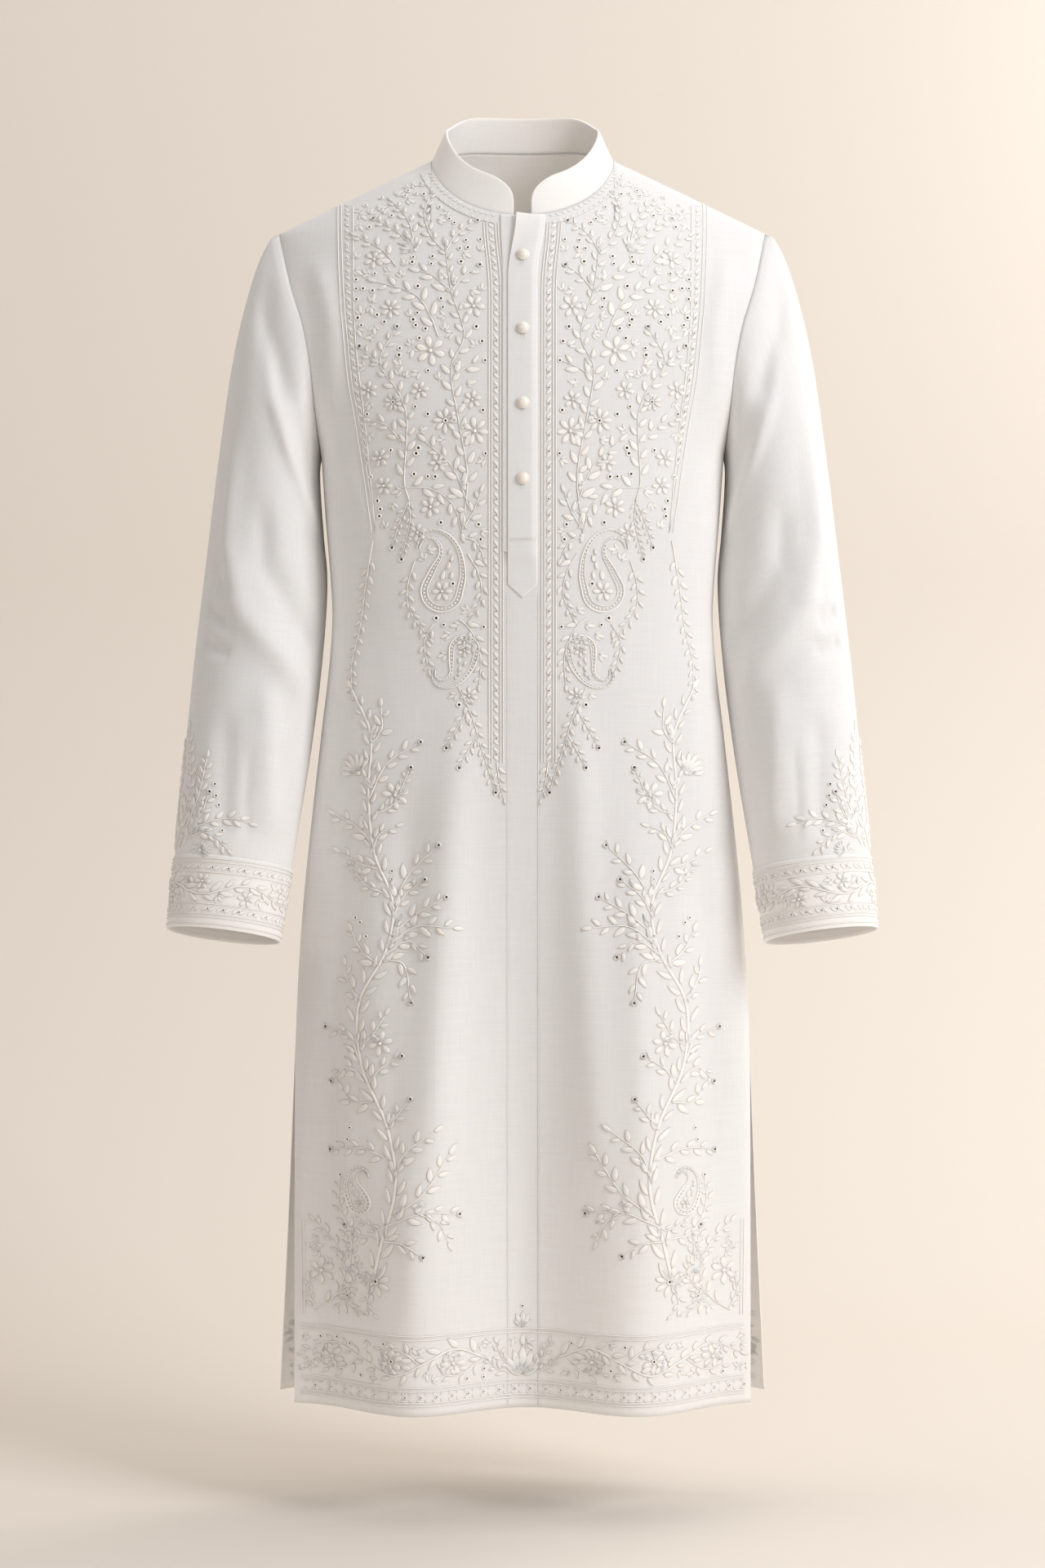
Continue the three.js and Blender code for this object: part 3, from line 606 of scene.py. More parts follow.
def distances(line):
    """How far along a line each of its points lies."""
    return np.concatenate([[0], np.cumsum(np.linalg.norm(np.diff(line, axis=0), axis=1))])


def neckline(columns=360):
    """The neckline, from the right side of the front opening round the back to its left, in even steps."""
    start = math.asin(SLOT * SHOULDER / NECK)
    shares = {
        "front": NECK / SHOULDER * np.sin(np.linspace(start, math.pi / 2, 60)),
        "back": NECK / SHOULDER * np.sin(np.linspace(0, math.pi / 2, 60)),
    }
    part = {side: body(side, s, height_at(side, s, start_angle(side, s))) for side, s in shares.items()}
    mirror = np.array([-1, 1, 1])
    right = np.concatenate([part["front"][:-1], part["back"][::-1]])
    ring = np.concatenate([right, right[:-1][::-1] * mirror])
    lengths = distances(ring)
    even = np.linspace(0, lengths[-1], columns + 1)
    return np.stack([np.interp(even, lengths, ring[:, k]) for k in range(3)], -1), even


def collar_points(base, fromstart, share):
    """The neckline raised by a share of the collar's height, leaning in."""
    inwards = unit(np.stack([-base[:, 0], NECK_MIDDLE_Y - base[:, 1]], -1))
    facing = inwards[:, 1]
    toward = np.where(facing > 0, COLLAR_LEAN["front"], COLLAR_LEAN["back"])
    lean = COLLAR_LEAN["side"] + (toward - COLLAR_LEAN["side"]) * facing**2
    full = COLLAR_TALL["back"] + (COLLAR_TALL["front"] - COLLAR_TALL["back"]) * (1 + facing) / 2
    full = full - COLLAR_DIP["deep"] * np.exp(-((facing / COLLAR_DIP["wide"]) ** 2))
    end = np.clip(np.minimum(fromstart, fromstart[-1] - fromstart) / CORNER_LONG, 0, 1)
    tall = CORNER_LOW + (full - CORNER_LOW) * np.sqrt(1 - (1 - end) ** 2)
    up = share * tall
    point = base.copy()
    point[:, :2] += inwards * (lean * up / full)[:, None]
    point[:, 2] += up
    return point


ring, ring_length = neckline()
points = np.stack([collar_points(ring, ring_length, share) for share in np.linspace(1, 0, COLLAR_ROWS)])
flat = np.stack([np.repeat(ring_length[None, :], COLLAR_ROWS, 0) + 3 * UV_APART, points[..., 2]], -1)
collar = grid_cloth("collar_band", points, flat, [pressed])
thicken(collar, COLLAR_THICK, BAND_EDGE)
fasten(collar, "collar")


# The placket: two strips of pressed lawn. The lower one is sewn along the slot on the viewer's left. The
# upper one laps over it, ends in a pointed tab, and stands open at the neck, where its free corner lifts.
PLACKET = {"left": -12, "right": 12.3, "square": -368, "point": -379}
UNDER = {"left": -16.5, "right": 7}
UNDER_END = -341
PLACKET_SPREAD = 7
SPREAD_FROM = -112
PLACKET_LIFT = 3
STRIP_DROP = 1
STRIP = 1.0
STRIP_EDGE = 0.3
STRIP_SEAM = 0.3


def swing(z):
    return PLACKET_SPREAD * smooth((z - SPREAD_FROM) / (-NECK_DROP - SPREAD_FROM))


def on_front(x, z, off):
    """Points that stand off the front by the given distance."""
    x, z, off = np.broadcast_arrays(np.asarray(x, float), np.asarray(z, float), np.asarray(off, float))
    share = x / half["front"](z)
    nudge = 0.4
    point = body("front", share, z)
    beside = body("front", share + nudge / SHOULDER, z)[..., 1]
    below = body("front", share, z - nudge)[..., 1]
    slope_x = (beside - point[..., 1]) / (nudge * half["front"](z) / SHOULDER)
    slope_z = (below - point[..., 1]) / -nudge
    normal = unit(np.stack([slope_x, -np.ones_like(slope_x), slope_z], -1))
    return point + normal * off[..., None]


def neck_height(x):
    return -NECK_DROP * np.sqrt(1 - np.clip(x / NECK, -1, 1) ** 2)


def on_placket(x, z, off=0.0):
    left, right = PLACKET["left"], PLACKET["right"]
    over = smooth((right - x) / (right - UNDER["right"]))
    below = smooth((UNDER_END - z) / 12)
    free = smooth((z - SPREAD_FROM) / (-NECK_DROP - SPREAD_FROM))
    lift = PLACKET_LIFT * free * np.clip(1 - (x - left) / (right - left), 0, 1) ** 1.5
    lie = STRIP_SEAM + (STRIP + STRIP_SEAM) * over * (1 - below)
    return on_front(x + swing(z), z, lie + STRIP + lift + off)


def strip(name, across, place, rows, node_name):
    points = np.stack([place(across, row(across)) for row in rows])
    flat = np.stack([np.repeat(across[None, :], len(rows), 0) + 4 * UV_APART, points[..., 2]], -1)
    made = grid_cloth(name, points, flat, [pressed])
    thicken(made, STRIP, STRIP_EDGE)
    return fasten(made, node_name)


def between(top, bottom, count, first=0):
    """Rows of a strip, each as its height over the place across."""
    return [lambda x, t=t: top(x) + (bottom(x) - top(x)) * t for t in np.linspace(0, 1, count)[first:]]


def strip_top(x):
    return neck_height(x) - STRIP_DROP


def strip_end(x):
    return np.full_like(x, UNDER_END)


def tab_end(x):
    middle = (PLACKET["left"] + PLACKET["right"]) / 2
    wide = (PLACKET["right"] - PLACKET["left"]) / 2
    return PLACKET["point"] + (PLACKET["square"] - PLACKET["point"]) * np.abs(x - middle) / wide


under = strip(
    "placket_under_strip",
    np.linspace(UNDER["left"], UNDER["right"], 13),
    lambda x, z: on_front(x - 0.25 * swing(z), z, STRIP_SEAM + STRIP),
    between(strip_top, strip_end, 90),
    "placket_under",
)
placket = strip(
    "placket_upper_strip",
    np.linspace(PLACKET["left"], PLACKET["right"], 21),
    on_placket,
    between(strip_top, strip_end, 100) + between(strip_end, tab_end, 16, first=1),
    "placket",
)


# The buttons: four domed pearl buttons with a turned groove inside the rim, sewn through from behind.
BUTTON = {"x": 0.7, "top": -93.5, "step": 62.3, "count": 4, "radius": 5.2, "tall": 4.4, "gap": 0.35}
BUTTON_PROFILE = [
    (0, 0), (0.72, 0), (0.93, 0.1), (1, 0.28), (0.97, 0.42), (0.88, 0.5), (0.84, 0.46),
    (0.78, 0.58), (0.64, 0.8), (0.4, 0.95), (0.2, 0.99), (0, 1),
]


def pearl():
    # Pearly cast resin, polished: creamy, with a clear gloss over a soft glow from inside.
    made, tree = new_material("pearl_resin")
    place = node(tree, "ShaderNodeTexCoord").outputs["Object"]
    clouded = {"Vector": place, "Scale": 220.0, "Detail": 2.0, "Distortion": 1.5}
    cloud = node(tree, "ShaderNodeTexNoise", clouded)
    tone = {0: cloud.outputs["Fac"], 1: linear("#E4DDD2"), 2: linear("#F8F5EF")}
    mixed = node(tree, "ShaderNodeMixRGB", tone)
    finish_material(tree, {
        "Base Color": mixed.outputs[0], "Roughness": 0.28, "IOR": 1.53,
        "Coat Weight": 0.5, "Coat Roughness": 0.12, "Subsurface Weight": 0.15, "Subsurface Scale": 2 * MM,
    })
    return made


def button_places():
    heights = [BUTTON["top"] - BUTTON["step"] * number for number in range(BUTTON["count"])]
    return [(BUTTON["x"] - float(swing(z)), z) for z in heights]


pearl_resin = pearl()
for number, (x, z) in enumerate(button_places()):
    seat = Vector(on_placket(x, z, BUTTON["gap"]))
    ahead = Vector(on_placket(x, z, BUTTON["gap"] + 1)) - seat
    bm = bmesh.new()
    outline = [bm.verts.new((r * BUTTON["radius"], 0, h * BUTTON["tall"])) for r, h in BUTTON_PROFILE]
    edges = [bm.edges.new(pair) for pair in zip(outline, outline[1:])]
    spun = {"cent": (0, 0, 0), "axis": (0, 0, 1), "angle": 2 * math.pi, "steps": 36, "use_merge": True}
    bmesh.ops.spin(bm, geom=outline + edges, **spun)
    bmesh.ops.remove_doubles(bm, verts=bm.verts, dist=0.001)
    bmesh.ops.recalc_face_normals(bm, faces=bm.faces)
    turned = ahead.to_track_quat("Z", "Y").to_matrix().to_4x4()
    bmesh.ops.transform(bm, matrix=Matrix.Translation(seat) @ turned, verts=bm.verts)
    made = object_from(f"button_{number + 1}_pearl", bm, [pearl_resin])
    fasten(made, f"button_{number + 1}")


# The embroidery: white thread worked by hand on the panels, with padded leaves, petals and seeds, corded
# stems, and eyelets whose rims are bound round a small hole, drawn as a face painted dark as its shade. It is
# laid out flat as it is seen from the front, then laid on.
THREAD_HIGH = 1.5


def thread():
    # Soft white cotton thread, laid close in satin stitch: a little brighter than the lawn, with a low sheen.
    # Where it goes down into the cloth its edge is sunk, and its colour there is painted darker as shade, by
    # the stitch's height.
    made, tree = new_material("white_thread")
    place = node(tree, "ShaderNodeTexCoord").outputs["Object"]
    strands = node(tree, "ShaderNodeTexNoise", {"Vector": place, "Scale": 900.0, "Detail": 2.0})
    height = {"Height": strands.outputs["Fac"], "Strength": 0.25, "Distance": 0.2 * MM}
    bump = node(tree, "ShaderNodeBump", height)
    # Painted shade: the stitch's height darkens its colour from white at its top to grey-beige at its sunk
    # edges and groove.
    raised = node(tree, "ShaderNodeAttribute", attribute_name="raised").outputs["Fac"]
    top = node(tree, "ShaderNodeMapRange", {"Value": raised, "From Min": 0.0, "From Max": 0.55})
    shade = node(tree, "ShaderNodeMixRGB", {0: top.outputs[0], 1: linear("#C4BBB0"), 2: linear("#F7F5F2")})
    finish_material(tree, {
        "Base Color": shade.outputs[0], "Roughness": 0.6, "Normal": bump.outputs[0], "Sheen Weight": 0.25,
        "Subsurface Weight": 0.6, "Subsurface Radius": GLOW, "Subsurface Scale": 1.5 * MM,
    })
    return made


def shadow_hole():
    # Painted shade: a dark face in the eyelet's middle stands for the shaded inside of the garment seen
    # through its hole.
    made, tree = new_material("eyelet_hole")
    finish_material(tree, {"Base Color": linear("#453D36"), "Roughness": 1.0, "Specular IOR Level": 0.0})
    return made


# How deep a stitch's edge goes into the cloth, as a share of its height, and an eyelet's steps inwards, as
# the width and the height of each.
SUNK = -0.15
EYELET_RINGS = ((0.08, 0.9), (0.15, 0.85), (0.05, 0.05))


def shape_of(bm, dark=()):
    """A flat stitch shape as arrays: its points, its faces and which of them are painted dark as shade."""
    bm.verts.index_update()
    points = np.array([vert.co[:] for vert in bm.verts])
    faces = [[vert.index for vert in face.verts] for face in bm.faces]
    holes = [face in dark for face in bm.faces]
    bm.free()
    return points, faces, holes


def leaf_shape(stations, fullest, groove):
    """A padded leaf one long and one wide, pointing along x, with a groove down its middle."""
    bm = bmesh.new()
    bmesh.ops.create_grid(bm, x_segments=stations, y_segments=4, size=0.5)
    for vert in bm.verts:
        u, v = vert.co.x + 0.5, vert.co.y * 2
        full = math.sin(math.pi * u**fullest) ** 0.8 if 0 < u < 1 else 0.04
        lifted = {0: groove, 1: 1.0, 2: -0.12}[round(abs(v) * 2)]
        vert.co = (u, v * full / 2, lifted * min(1, 0.2 + 1.2 * full))
    return shape_of(bm)


def seed_shape():
    """A knot of thread, one wide and one tall, open below."""
    bm = bmesh.new()
    bmesh.ops.create_cone(bm, cap_ends=True, segments=6, radius1=0.5, radius2=0.26, depth=1)
    bmesh.ops.translate(bm, vec=(0, 0, 0.5), verts=bm.verts)
    bottom = [face for face in bm.faces if face.normal.z < -0.5]
    bmesh.ops.delete(bm, geom=bottom, context="FACES_ONLY")
    return shape_of(bm)


def eyelet_shape():
    """A bound ring one wide round a middle painted dark as the hole's shade."""
    bm = bmesh.new()
    bmesh.ops.create_circle(bm, cap_ends=True, segments=10, radius=0.5)
    middle = bm.faces[:]
    for vert in bm.verts:
        vert.co.z = SUNK
    for thick, height in EYELET_RINGS:
        bmesh.ops.inset_region(bm, faces=middle, thickness=thick, use_boundary=True, use_even_offset=True)
        for vert in middle[0].verts:
            vert.co.z = height
    return shape_of(bm, middle)


LEAF = leaf_shape(7, 0.8, 0.5)
PETAL = leaf_shape(5, 1.35, 0.5)
SEED = seed_shape()
EYELET = eyelet_shape()


def cord_shape(steps):
    """A raised cord one step long and one wide for each step, along x."""
    bm = bmesh.new()
    bmesh.ops.create_grid(bm, x_segments=steps, y_segments=3, size=0.5)
    for vert in bm.verts:
        u, v = vert.co.x + 0.5, vert.co.y * 2
        vert.co = (u * steps, v / 2, SUNK) if abs(v) > 0.5 else (u * steps, v * 0.62, 1.0)
    return shape_of(bm)


def smooth_path(path, pitch=2.5):
    """A smooth line through a few points, cut into even steps."""
    path = np.asarray(path, float)
    knots = distances(path)
    rows = [{"at": k, "x": p[0], "z": p[1]} for k, p in zip(knots, path)]
    fine = np.linspace(0, knots[-1], max(3, int(knots[-1]) + 1))
    line = np.stack([curve(rows, "at", "x")(fine), curve(rows, "at", "z")(fine)], -1)
    run = distances(line)
    even = np.linspace(0, run[-1], max(3, round(run[-1] / pitch) + 1))
    return np.stack([np.interp(even, run, line[:, k]) for k in range(2)], -1)


def new_work():
    return {"marks": [], "cords": []}


def mark(work, shape, x, z, angle=0.0, long=1.0, wide=None, high=THREAD_HIGH, bend=0.0):
    work["marks"].append((shape, x, z, angle, long, long if wide is None else wide, high, bend))


def cord(work, path, wide=1.3, high=THREAD_HIGH, thin=0.6):
    work["cords"].append((smooth_path(path), wide, high, thin))


def lay_stitches(name, work, lay, material=None):
    """Makes one mesh of a piece of work. lay gives points on the cloth from flat x, flat z and height."""
    spots, raised, faces, dark = [], [], [], []

    def add(shape, x, z, height):
        points, shape_faces, holes = shape
        faces.extend([i + len(raised) for i in face] for face in shape_faces)
        spots.append(np.stack([x, z, height], -1))
        raised.extend(points[:, 2])
        dark.extend(holes)

    for shape, x, z, angle, long, wide, high, bend in work["marks"]:
        points = shape[0]
        u, v = points[:, 0] * long, points[:, 1] * wide + bend * points[:, 0] ** 2 * long
        cos, sin = math.cos(angle), math.sin(angle)
        add(shape, x + u * cos - v * sin, z + u * sin + v * cos, points[:, 2] * high)
    for line, wide, high, thin in work["cords"]:
        shape = cord_shape(len(line) - 1)
        points = shape[0]
        step = np.clip(np.rint(points[:, 0]).astype(int), 0, len(line) - 1)
        ahead = unit(np.gradient(line, axis=0))
        share = step / (len(line) - 1)
        size = wide * (1 + (thin - 1) * share)
        side = np.stack([-ahead[step, 1], ahead[step, 0]], -1)
        flat = line[step] + side * (points[:, 1] * size)[:, None]
        add(shape, flat[:, 0], flat[:, 1], points[:, 2] * high * np.minimum(1, 0.5 + 0.5 * size / wide))
    spots = np.concatenate(spots)
    laid = lay(spots[:, 0], spots[:, 1], spots[:, 2]) * MM
    mesh = bpy.data.meshes.new(name)
    mesh.from_pydata(laid.tolist(), [], faces)
    mesh.materials.append(material or white_thread)
    mesh.materials.append(eyelet_hole)
    mesh.polygons.foreach_set("material_index", np.array(dark, int))
    mesh.polygons.foreach_set("use_smooth", np.ones(len(faces), bool))
    # The stitch's heights, which the thread's colour reads for its painted shade at the sunk edges.
    mesh.attributes.new("raised", "FLOAT", "POINT").data.foreach_set("value", raised)
    made = bpy.data.objects.new(name, mesh)
    bpy.context.collection.objects.link(made)
    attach(made, "root")
    return made


white_thread = thread()
eyelet_hole = shadow_hole()


# The flat plane that the front's embroidery is laid out on: x, and the height over the armpit's level, which
# above it is measured along the cloth, over the chest to the shoulder seam. Places read in the picture are
# first followed from the camera to the cloth.
PLANE_STEP = 2.0
plane_x = np.arange(-SHOULDER, SHOULDER + 0.1, PLANE_STEP)
plane_share = np.clip(plane_x / SHOULDER, -0.999, 0.999)


def column_table(side):
    """For each x of the plane, from the hem up to the seam: heights, lengths along the cloth and depths."""
    start = start_angle(side, plane_share)[None, :]
    turned = start + (math.pi / 2 - start) * np.linspace(0, 1, 160)[:, None]
    upper = height_at(side, plane_share[None, :], turned)
    lower = np.repeat(np.linspace(ARMPIT_Z, HEM_Z, 402)[1:, None], len(plane_x), 1)
    z = np.concatenate([upper, lower])[::-1]
    share = np.clip(plane_x[None, :] / half[side](z), -1, 1)
    points = body(side, share, z)
    rises = np.hypot(np.diff(points[..., 1], axis=0), np.diff(z, axis=0))
    steps = np.where(z[1:] > ARMPIT_Z, rises, np.diff(z, axis=0))
    length = np.concatenate([np.zeros((1, len(plane_x))), np.cumsum(steps, axis=0)])
    level = np.array([np.interp(ARMPIT_Z, z[:, i], length[:, i]) for i in range(len(plane_x))])
    return z, length - level[None, :], points[..., 1]


tables = {side: column_table(side) for side in OUT}
PLANE_LOW, PLANE_HIGH = -830, 320
plane_up = np.arange(PLANE_LOW, PLANE_HIGH + 1, 1.0)
plane_z = {
    side: np.stack([np.interp(plane_up, lengths[:, i], heights[:, i]) for i in range(len(plane_x))])
    for side, (heights, lengths, _) in tables.items()
}


def plane_height(side, x, up):
    """The height over the frame's origin of a place on the plane."""
    a = np.clip((np.asarray(x, float) - plane_x[0]) / PLANE_STEP, 0, len(plane_x) - 1.001)
    b = np.clip(np.asarray(up, float) - PLANE_LOW, 0, len(plane_up) - 1.001)
    i, j = a.astype(int), b.astype(int)
    a, b = a - i, b - j
    grid = plane_z[side]
    low = grid[i, j] * (1 - a) + grid[i + 1, j] * a
    high = grid[i, j + 1] * (1 - a) + grid[i + 1, j + 1] * a
    return low * (1 - b) + high * b


def facing(at, x, up):
    """Which way a cloth faces at places of its flat plane. at gives the cloth's points for such places."""
    nudge = 0.5
    across = at(x + nudge, up) - at(x - nudge, up)
    along = at(x, up + nudge) - at(x, up - nudge)
    return unit(np.cross(across, along))


def lay_on(side):
    """Lays flat work on a panel; on the back it is seen from behind, so its x runs the other way."""

    def at(x, up):
        z = plane_height(side, x, up)
        return body(side, np.clip(x / half[side](z), -1, 1), z)

    def lay(x, up, off):
        x = x * -OUT[side]
        normal = facing(at, x, up)
        normal *= np.where(normal[..., 1:2] * OUT[side] < 0, -1, 1)
        return at(x, up) + normal * off[:, None]

    return lay


def plane_column(x):
    return int(np.clip(round((x - plane_x[0]) / PLANE_STEP), 0, len(plane_x) - 1))


def seen(x, z):
    """Where on the front's plane the camera sees a place of the picture's plane."""
    heights, lengths, ys = tables["front"]
    real = x
    for _ in range(5):
        i = plane_column(real)
        scale = (EYE_FAR + ys[:, i]) / EYE_FAR
        shown = EYE_Z + (heights[:, i] - EYE_Z) / scale
        shown = np.maximum.accumulate(shown)
        real = x * np.interp(z, shown, scale)
    return real, float(np.interp(z, shown, lengths[:, i]))


def level(side, x, z):
    """The place on the plane at a given height."""
    heights, lengths, _ = tables[side]
    i = plane_column(x)
    return x, float(np.interp(z, heights[:, i], lengths[:, i]))


def seen_path(points):
    return [seen(x, z) for x, z in smooth_path(points, 8.0)]


def along_path(line, at):
    """A point of a line and its direction, at a distance from the line's start."""
    run = distances(line)
    i = int(np.clip(np.searchsorted(run, at) - 1, 0, len(line) - 2))
    t = (at - run[i]) / max(run[i + 1] - run[i], 1e-9)
    point = line[i] + (line[i + 1] - line[i]) * t
    step = line[i + 1] - line[i]
    return point, math.atan2(step[1], step[0])


def line_length(line):
    return float(np.linalg.norm(np.diff(line, axis=0), axis=1).sum())


# The chest: a close jaal of leafy stems, flowers and eyelets on each side of the placket, that ends below in
# two paisleys. Its places are those of the left half of the picture; the right half is its mirror image.
CHEST_FIELD = [
    (-143, -42), (-112, -26), (-88, -16), (-74, -34), (-60, -48), (-45, -58), (-33, -64), (-31, -300),
    (-32, -480), (-56, -470), (-80, -440), (-97, -395), (-96, -335), (-118, -318), (-128, -290), (-134, -240),
    (-142, -160), (-143, -100),
]
CHEST_STEMS = table(
    "leaf tip path",
    (12, "bud", [(-97, -290), (-101, -276), (-99, -220), (-106, -198), (-122, -172), (-109, -144)]),
    (13, "leaf", [(-52, -318), (-47, -270), (-55, -220), (-61, -177), (-50, -149), (-61, -110), (-66, -72)]),
    (14, "leaf", [(-72, -150), (-80, -130), (-92, -114), (-125, -103)]),
    (13, "leaf", [(-103, -279), (-77, -281), (-59, -295), (-52, -318)]),
    (12, "leaf", [(-108, -90), (-120, -76), (-142, -64)]),
    (11, "bud", [(-60, -110), (-50, -98), (-39, -90)]),
    (15, "leaf", [(-61, -112), (-76, -98), (-88, -94)]),
    (9, "bud", [(-66, -78), (-56, -62), (-41, -52)]),
    (9, "bud", [(-67, -76), (-78, -64), (-84, -44), (-78, -28)]),
    (10, "bud", [(-92, -74), (-108, -60), (-126, -50)]),
    (10, "leaf", [(-92, -72), (-98, -50), (-112, -34)]),
    (9, "bud", [(-120, -174), (-132, -166), (-138, -160)]),
    (14, "eyelet", [(-59, -184), (-47, -176), (-34, -171)]),
    (11, "leaf", [(-104, -240), (-116, -226), (-130, -222)]),
    (14, "leaf", [(-46, -296), (-60, -262), (-83, -240)]),
    (7, "bud", [(-97, -290), (-104, -306), (-111, -328)]),
    (6, "bud", [(-98, -288), (-96, -306), (-103, -338)]),
    (12, "leaf", [(-52, -316), (-42, -300), (-36, -284)]),
    (10, "leaf", [(-50, -322), (-40, -326), (-33, -340)]),
    (10, "leaf", [(-47, -336), (-38, -352), (-35, -372), (-44, -392)]),
    (9, "leaf", [(-92, -342), (-98, -362), (-97, -384), (-80, -408)]),
    (10, "leaf", [(-54, -392), (-44, -402), (-36, -424), (-37, -448)]),
    (9, "leaf", [(-76, -396), (-84, -412), (-80, -436)]),
    (9, "bud", [(-55, -450), (-44, -474), (-36, -500), (-24, -538)]),
    (9, "bud", [(-46, -468), (-54, -482), (-64, -500)]),
    (8, "bud", [(-38, -490), (-45, -502), (-53, -517)]),
)
CHEST_FLOWERS = table(
    "x z radius petals",
    (-79, -162, 13, 6), (-41, -231, 12, 7), (-79, -296, 9, 6), (-111, -206, 8, 8), (-122, -254, 8, 6),
    (-66, -222, 11, 8), (-119, -278, 8, 6), (-127, -84, 9, 6), (-113, -126, 9, 7), (-88, -196, 8, 6),
    (-132, -196, 8, 6), (-43, -204, 8, 6), (-42, -124, 10, 6), (-72, -258, 8, 6), (-90, -318, 8, 6),
    (-50, -412, 7, 6), (-46, -458, 8, 7),
)
PAISLEYS = table("x z bowl turn curl", (-69, -368, 17.5, 0.0, 1), (-50, -419, 12.5, math.pi - 0.5, -1))
# A paisley's middle line, in twentieths of its bowl's half width, its half width along that line, and its
# buds.
PAISLEY_SPINE = [(0, 0), (6, 18), (8, 34), (3, 47), (-8, 54), (-19, 50), (-23, 40)]
PAISLEY_BOWL = 20
PAISLEY_WIDTHS = [(0, 1), (0.22, 0.86), (0.42, 0.54), (0.6, 0.34), (0.8, 0.17), (1, 0.05)]
PAISLEY_BUDS = [(0.0, 0.5, 0.5), (0.42, 0.55, 0.4), (0.28, 1.0, 0.42), (0.44, 1.35, 0.36), (0.34, 1.7, 0.3)]
# The unevenness of handwork: one seeded row of draws, used in the order in which the pieces are made.
chance = random.Random(11)


def eyelet(work, x, z, size=4.8):
    mark(work, EYELET, x, z, 0, size, size, 1.1)


def tip_bud(work, point, angle, long, tip):
    """What ends a twig: a leaf, a bud with an eyelet in it, or a small eyelet alone."""
    x, z = point
    if tip == "leaf":
        mark(work, LEAF, x, z, angle, long, long * 0.42)
    elif tip == "bud":
        eyelet(work, x + math.cos(angle) * 3, z + math.sin(angle) * 3, 5.0)
        for turn in (-0.75, 0.75):
            mark(work, LEAF, x, z, angle + turn, long * 0.6, long * 0.24, bend=-turn * 0.4)
    elif tip == "eyelet":
        eyelet(work, x + math.cos(angle) * 2, z + math.sin(angle) * 2, 4.2)


def sprig(work, path, long, tip="leaf", pitch=None, spread=0.86, stem=1.3, begin=0.14, slim=0.46):
    """A stem with leaves on both sides by turns, smaller towards its tip. Each starts beside the stem."""
    line = smooth_path(path)
    cord(work, path, stem, 1.0, 0.6)
    total = line_length(line)
    pitch = pitch or long * 0.6
    at, hand = total * begin, 1
    while at < total - long * 0.25:
        point, angle = along_path(line, at)
        share = at / total
        size = long * (1 - 0.42 * share) * chance.uniform(0.86, 1.14)
        turn = hand * (spread + chance.uniform(-0.12, 0.12))
        x = point[0] + math.cos(angle + hand * math.pi / 2) * stem * 0.55
        z = point[1] + math.sin(angle + hand * math.pi / 2) * stem * 0.55
        mark(work, LEAF, x, z, angle + turn, size, size * slim, bend=-hand * chance.uniform(0.05, 0.3))
        at += pitch * (1 - 0.3 * share)
        hand = -hand
    point, angle = along_path(line, total)
    tip_bud(work, point, angle, long * 0.7, tip)


def flower(work, x, z, radius, petals=6, turn=0.0, heart="seed"):
    """Petals round a seed, or round an eyelet where that is asked for or the petals are many."""
    for number in range(petals):
        angle = turn + 2 * math.pi * number / petals
        start = radius * 0.16
        place = (x + start * math.cos(angle), z + start * math.sin(angle))
        mark(work, PETAL, *place, angle, radius * 0.86, radius * 3.72 / (petals + 1.5))
    if heart == "eyelet" or petals > 7:
        eyelet(work, x, z, max(3.8, radius * 0.42))
    else:
        mark(work, SEED, x, z, 0, radius * 0.3, radius * 0.3, THREAD_HIGH * 1.3)


def carnation(work, x, z, size, angle):
    """A fan of long petals from a cup of two short leaves."""
    for number in range(7):
        turn = (number - 3) * 0.33
        long = size * (1 - 0.05 * abs(number - 3))
        mark(work, PETAL, x, z, angle + turn, long, size * 0.24, bend=turn * 0.12)
    for turn in (-1.25, 1.25):
        mark(work, LEAF, x, z, angle + turn, size * 0.55, size * 0.22, bend=-turn * 0.3)
    mark(work, SEED, x, z, 0, size * 0.24, size * 0.24, THREAD_HIGH * 1.2)


def paisley(work, x, z, bowl, turn=0.0, curl=1):
    """A drop whose tip bends over: two cords, a row of seeds between them and a flower in its bowl."""
    spine = smooth_path(PAISLEY_SPINE, 1.0) / PAISLEY_BOWL
    run = np.linspace(0, 1, len(spine))
    ahead = unit(np.gradient(spine, axis=0))
    side = np.stack([-ahead[:, 1], ahead[:, 0]], -1)
    first = math.atan2(-side[0, 1], -side[0, 0])

    def placed(points):
        points = np.asarray(points) * (bowl * curl, bowl)
        across = points[:, 0] * math.cos(turn) - points[:, 1] * math.sin(turn)
        along = points[:, 0] * math.sin(turn) + points[:, 1] * math.cos(turn)
        return np.stack([x + across, z + along], -1)

    def outline(inset):
        wide = np.interp(run, *zip(*PAISLEY_WIDTHS)) * (1 - inset)
        right, left = spine - side * wide[:, None], spine + side * wide[:, None]
        angles = first - np.linspace(0, math.pi, 12)[1:-1]
        bottom = np.stack([np.cos(angles), np.sin(angles)], -1) * wide[0]
        return placed(np.concatenate([right[::-1][::4], bottom, left[::4]]))

    cord(work, outline(0), 1.7, 1.1, 1.0)
    cord(work, outline(0.3), 1.1, 0.9, 1.0)
    row = smooth_path(outline(0.15), 1.0)
    for at in np.arange(4, line_length(row) - 4, 3.1):
        point, _ = along_path(row, at)
        mark(work, SEED, *point, 0, 2.2, 2.2, 1.1)
    flower(work, *placed([(0, -0.02)])[0], bowl * 0.5, 6, turn)
    for u, v, size in PAISLEY_BUDS:
        bud = placed([(u, v)])[0]
        mark(work, LEAF, *bud, turn + math.pi / 2 - curl * 0.2, bowl * size, bowl * size * 0.5)


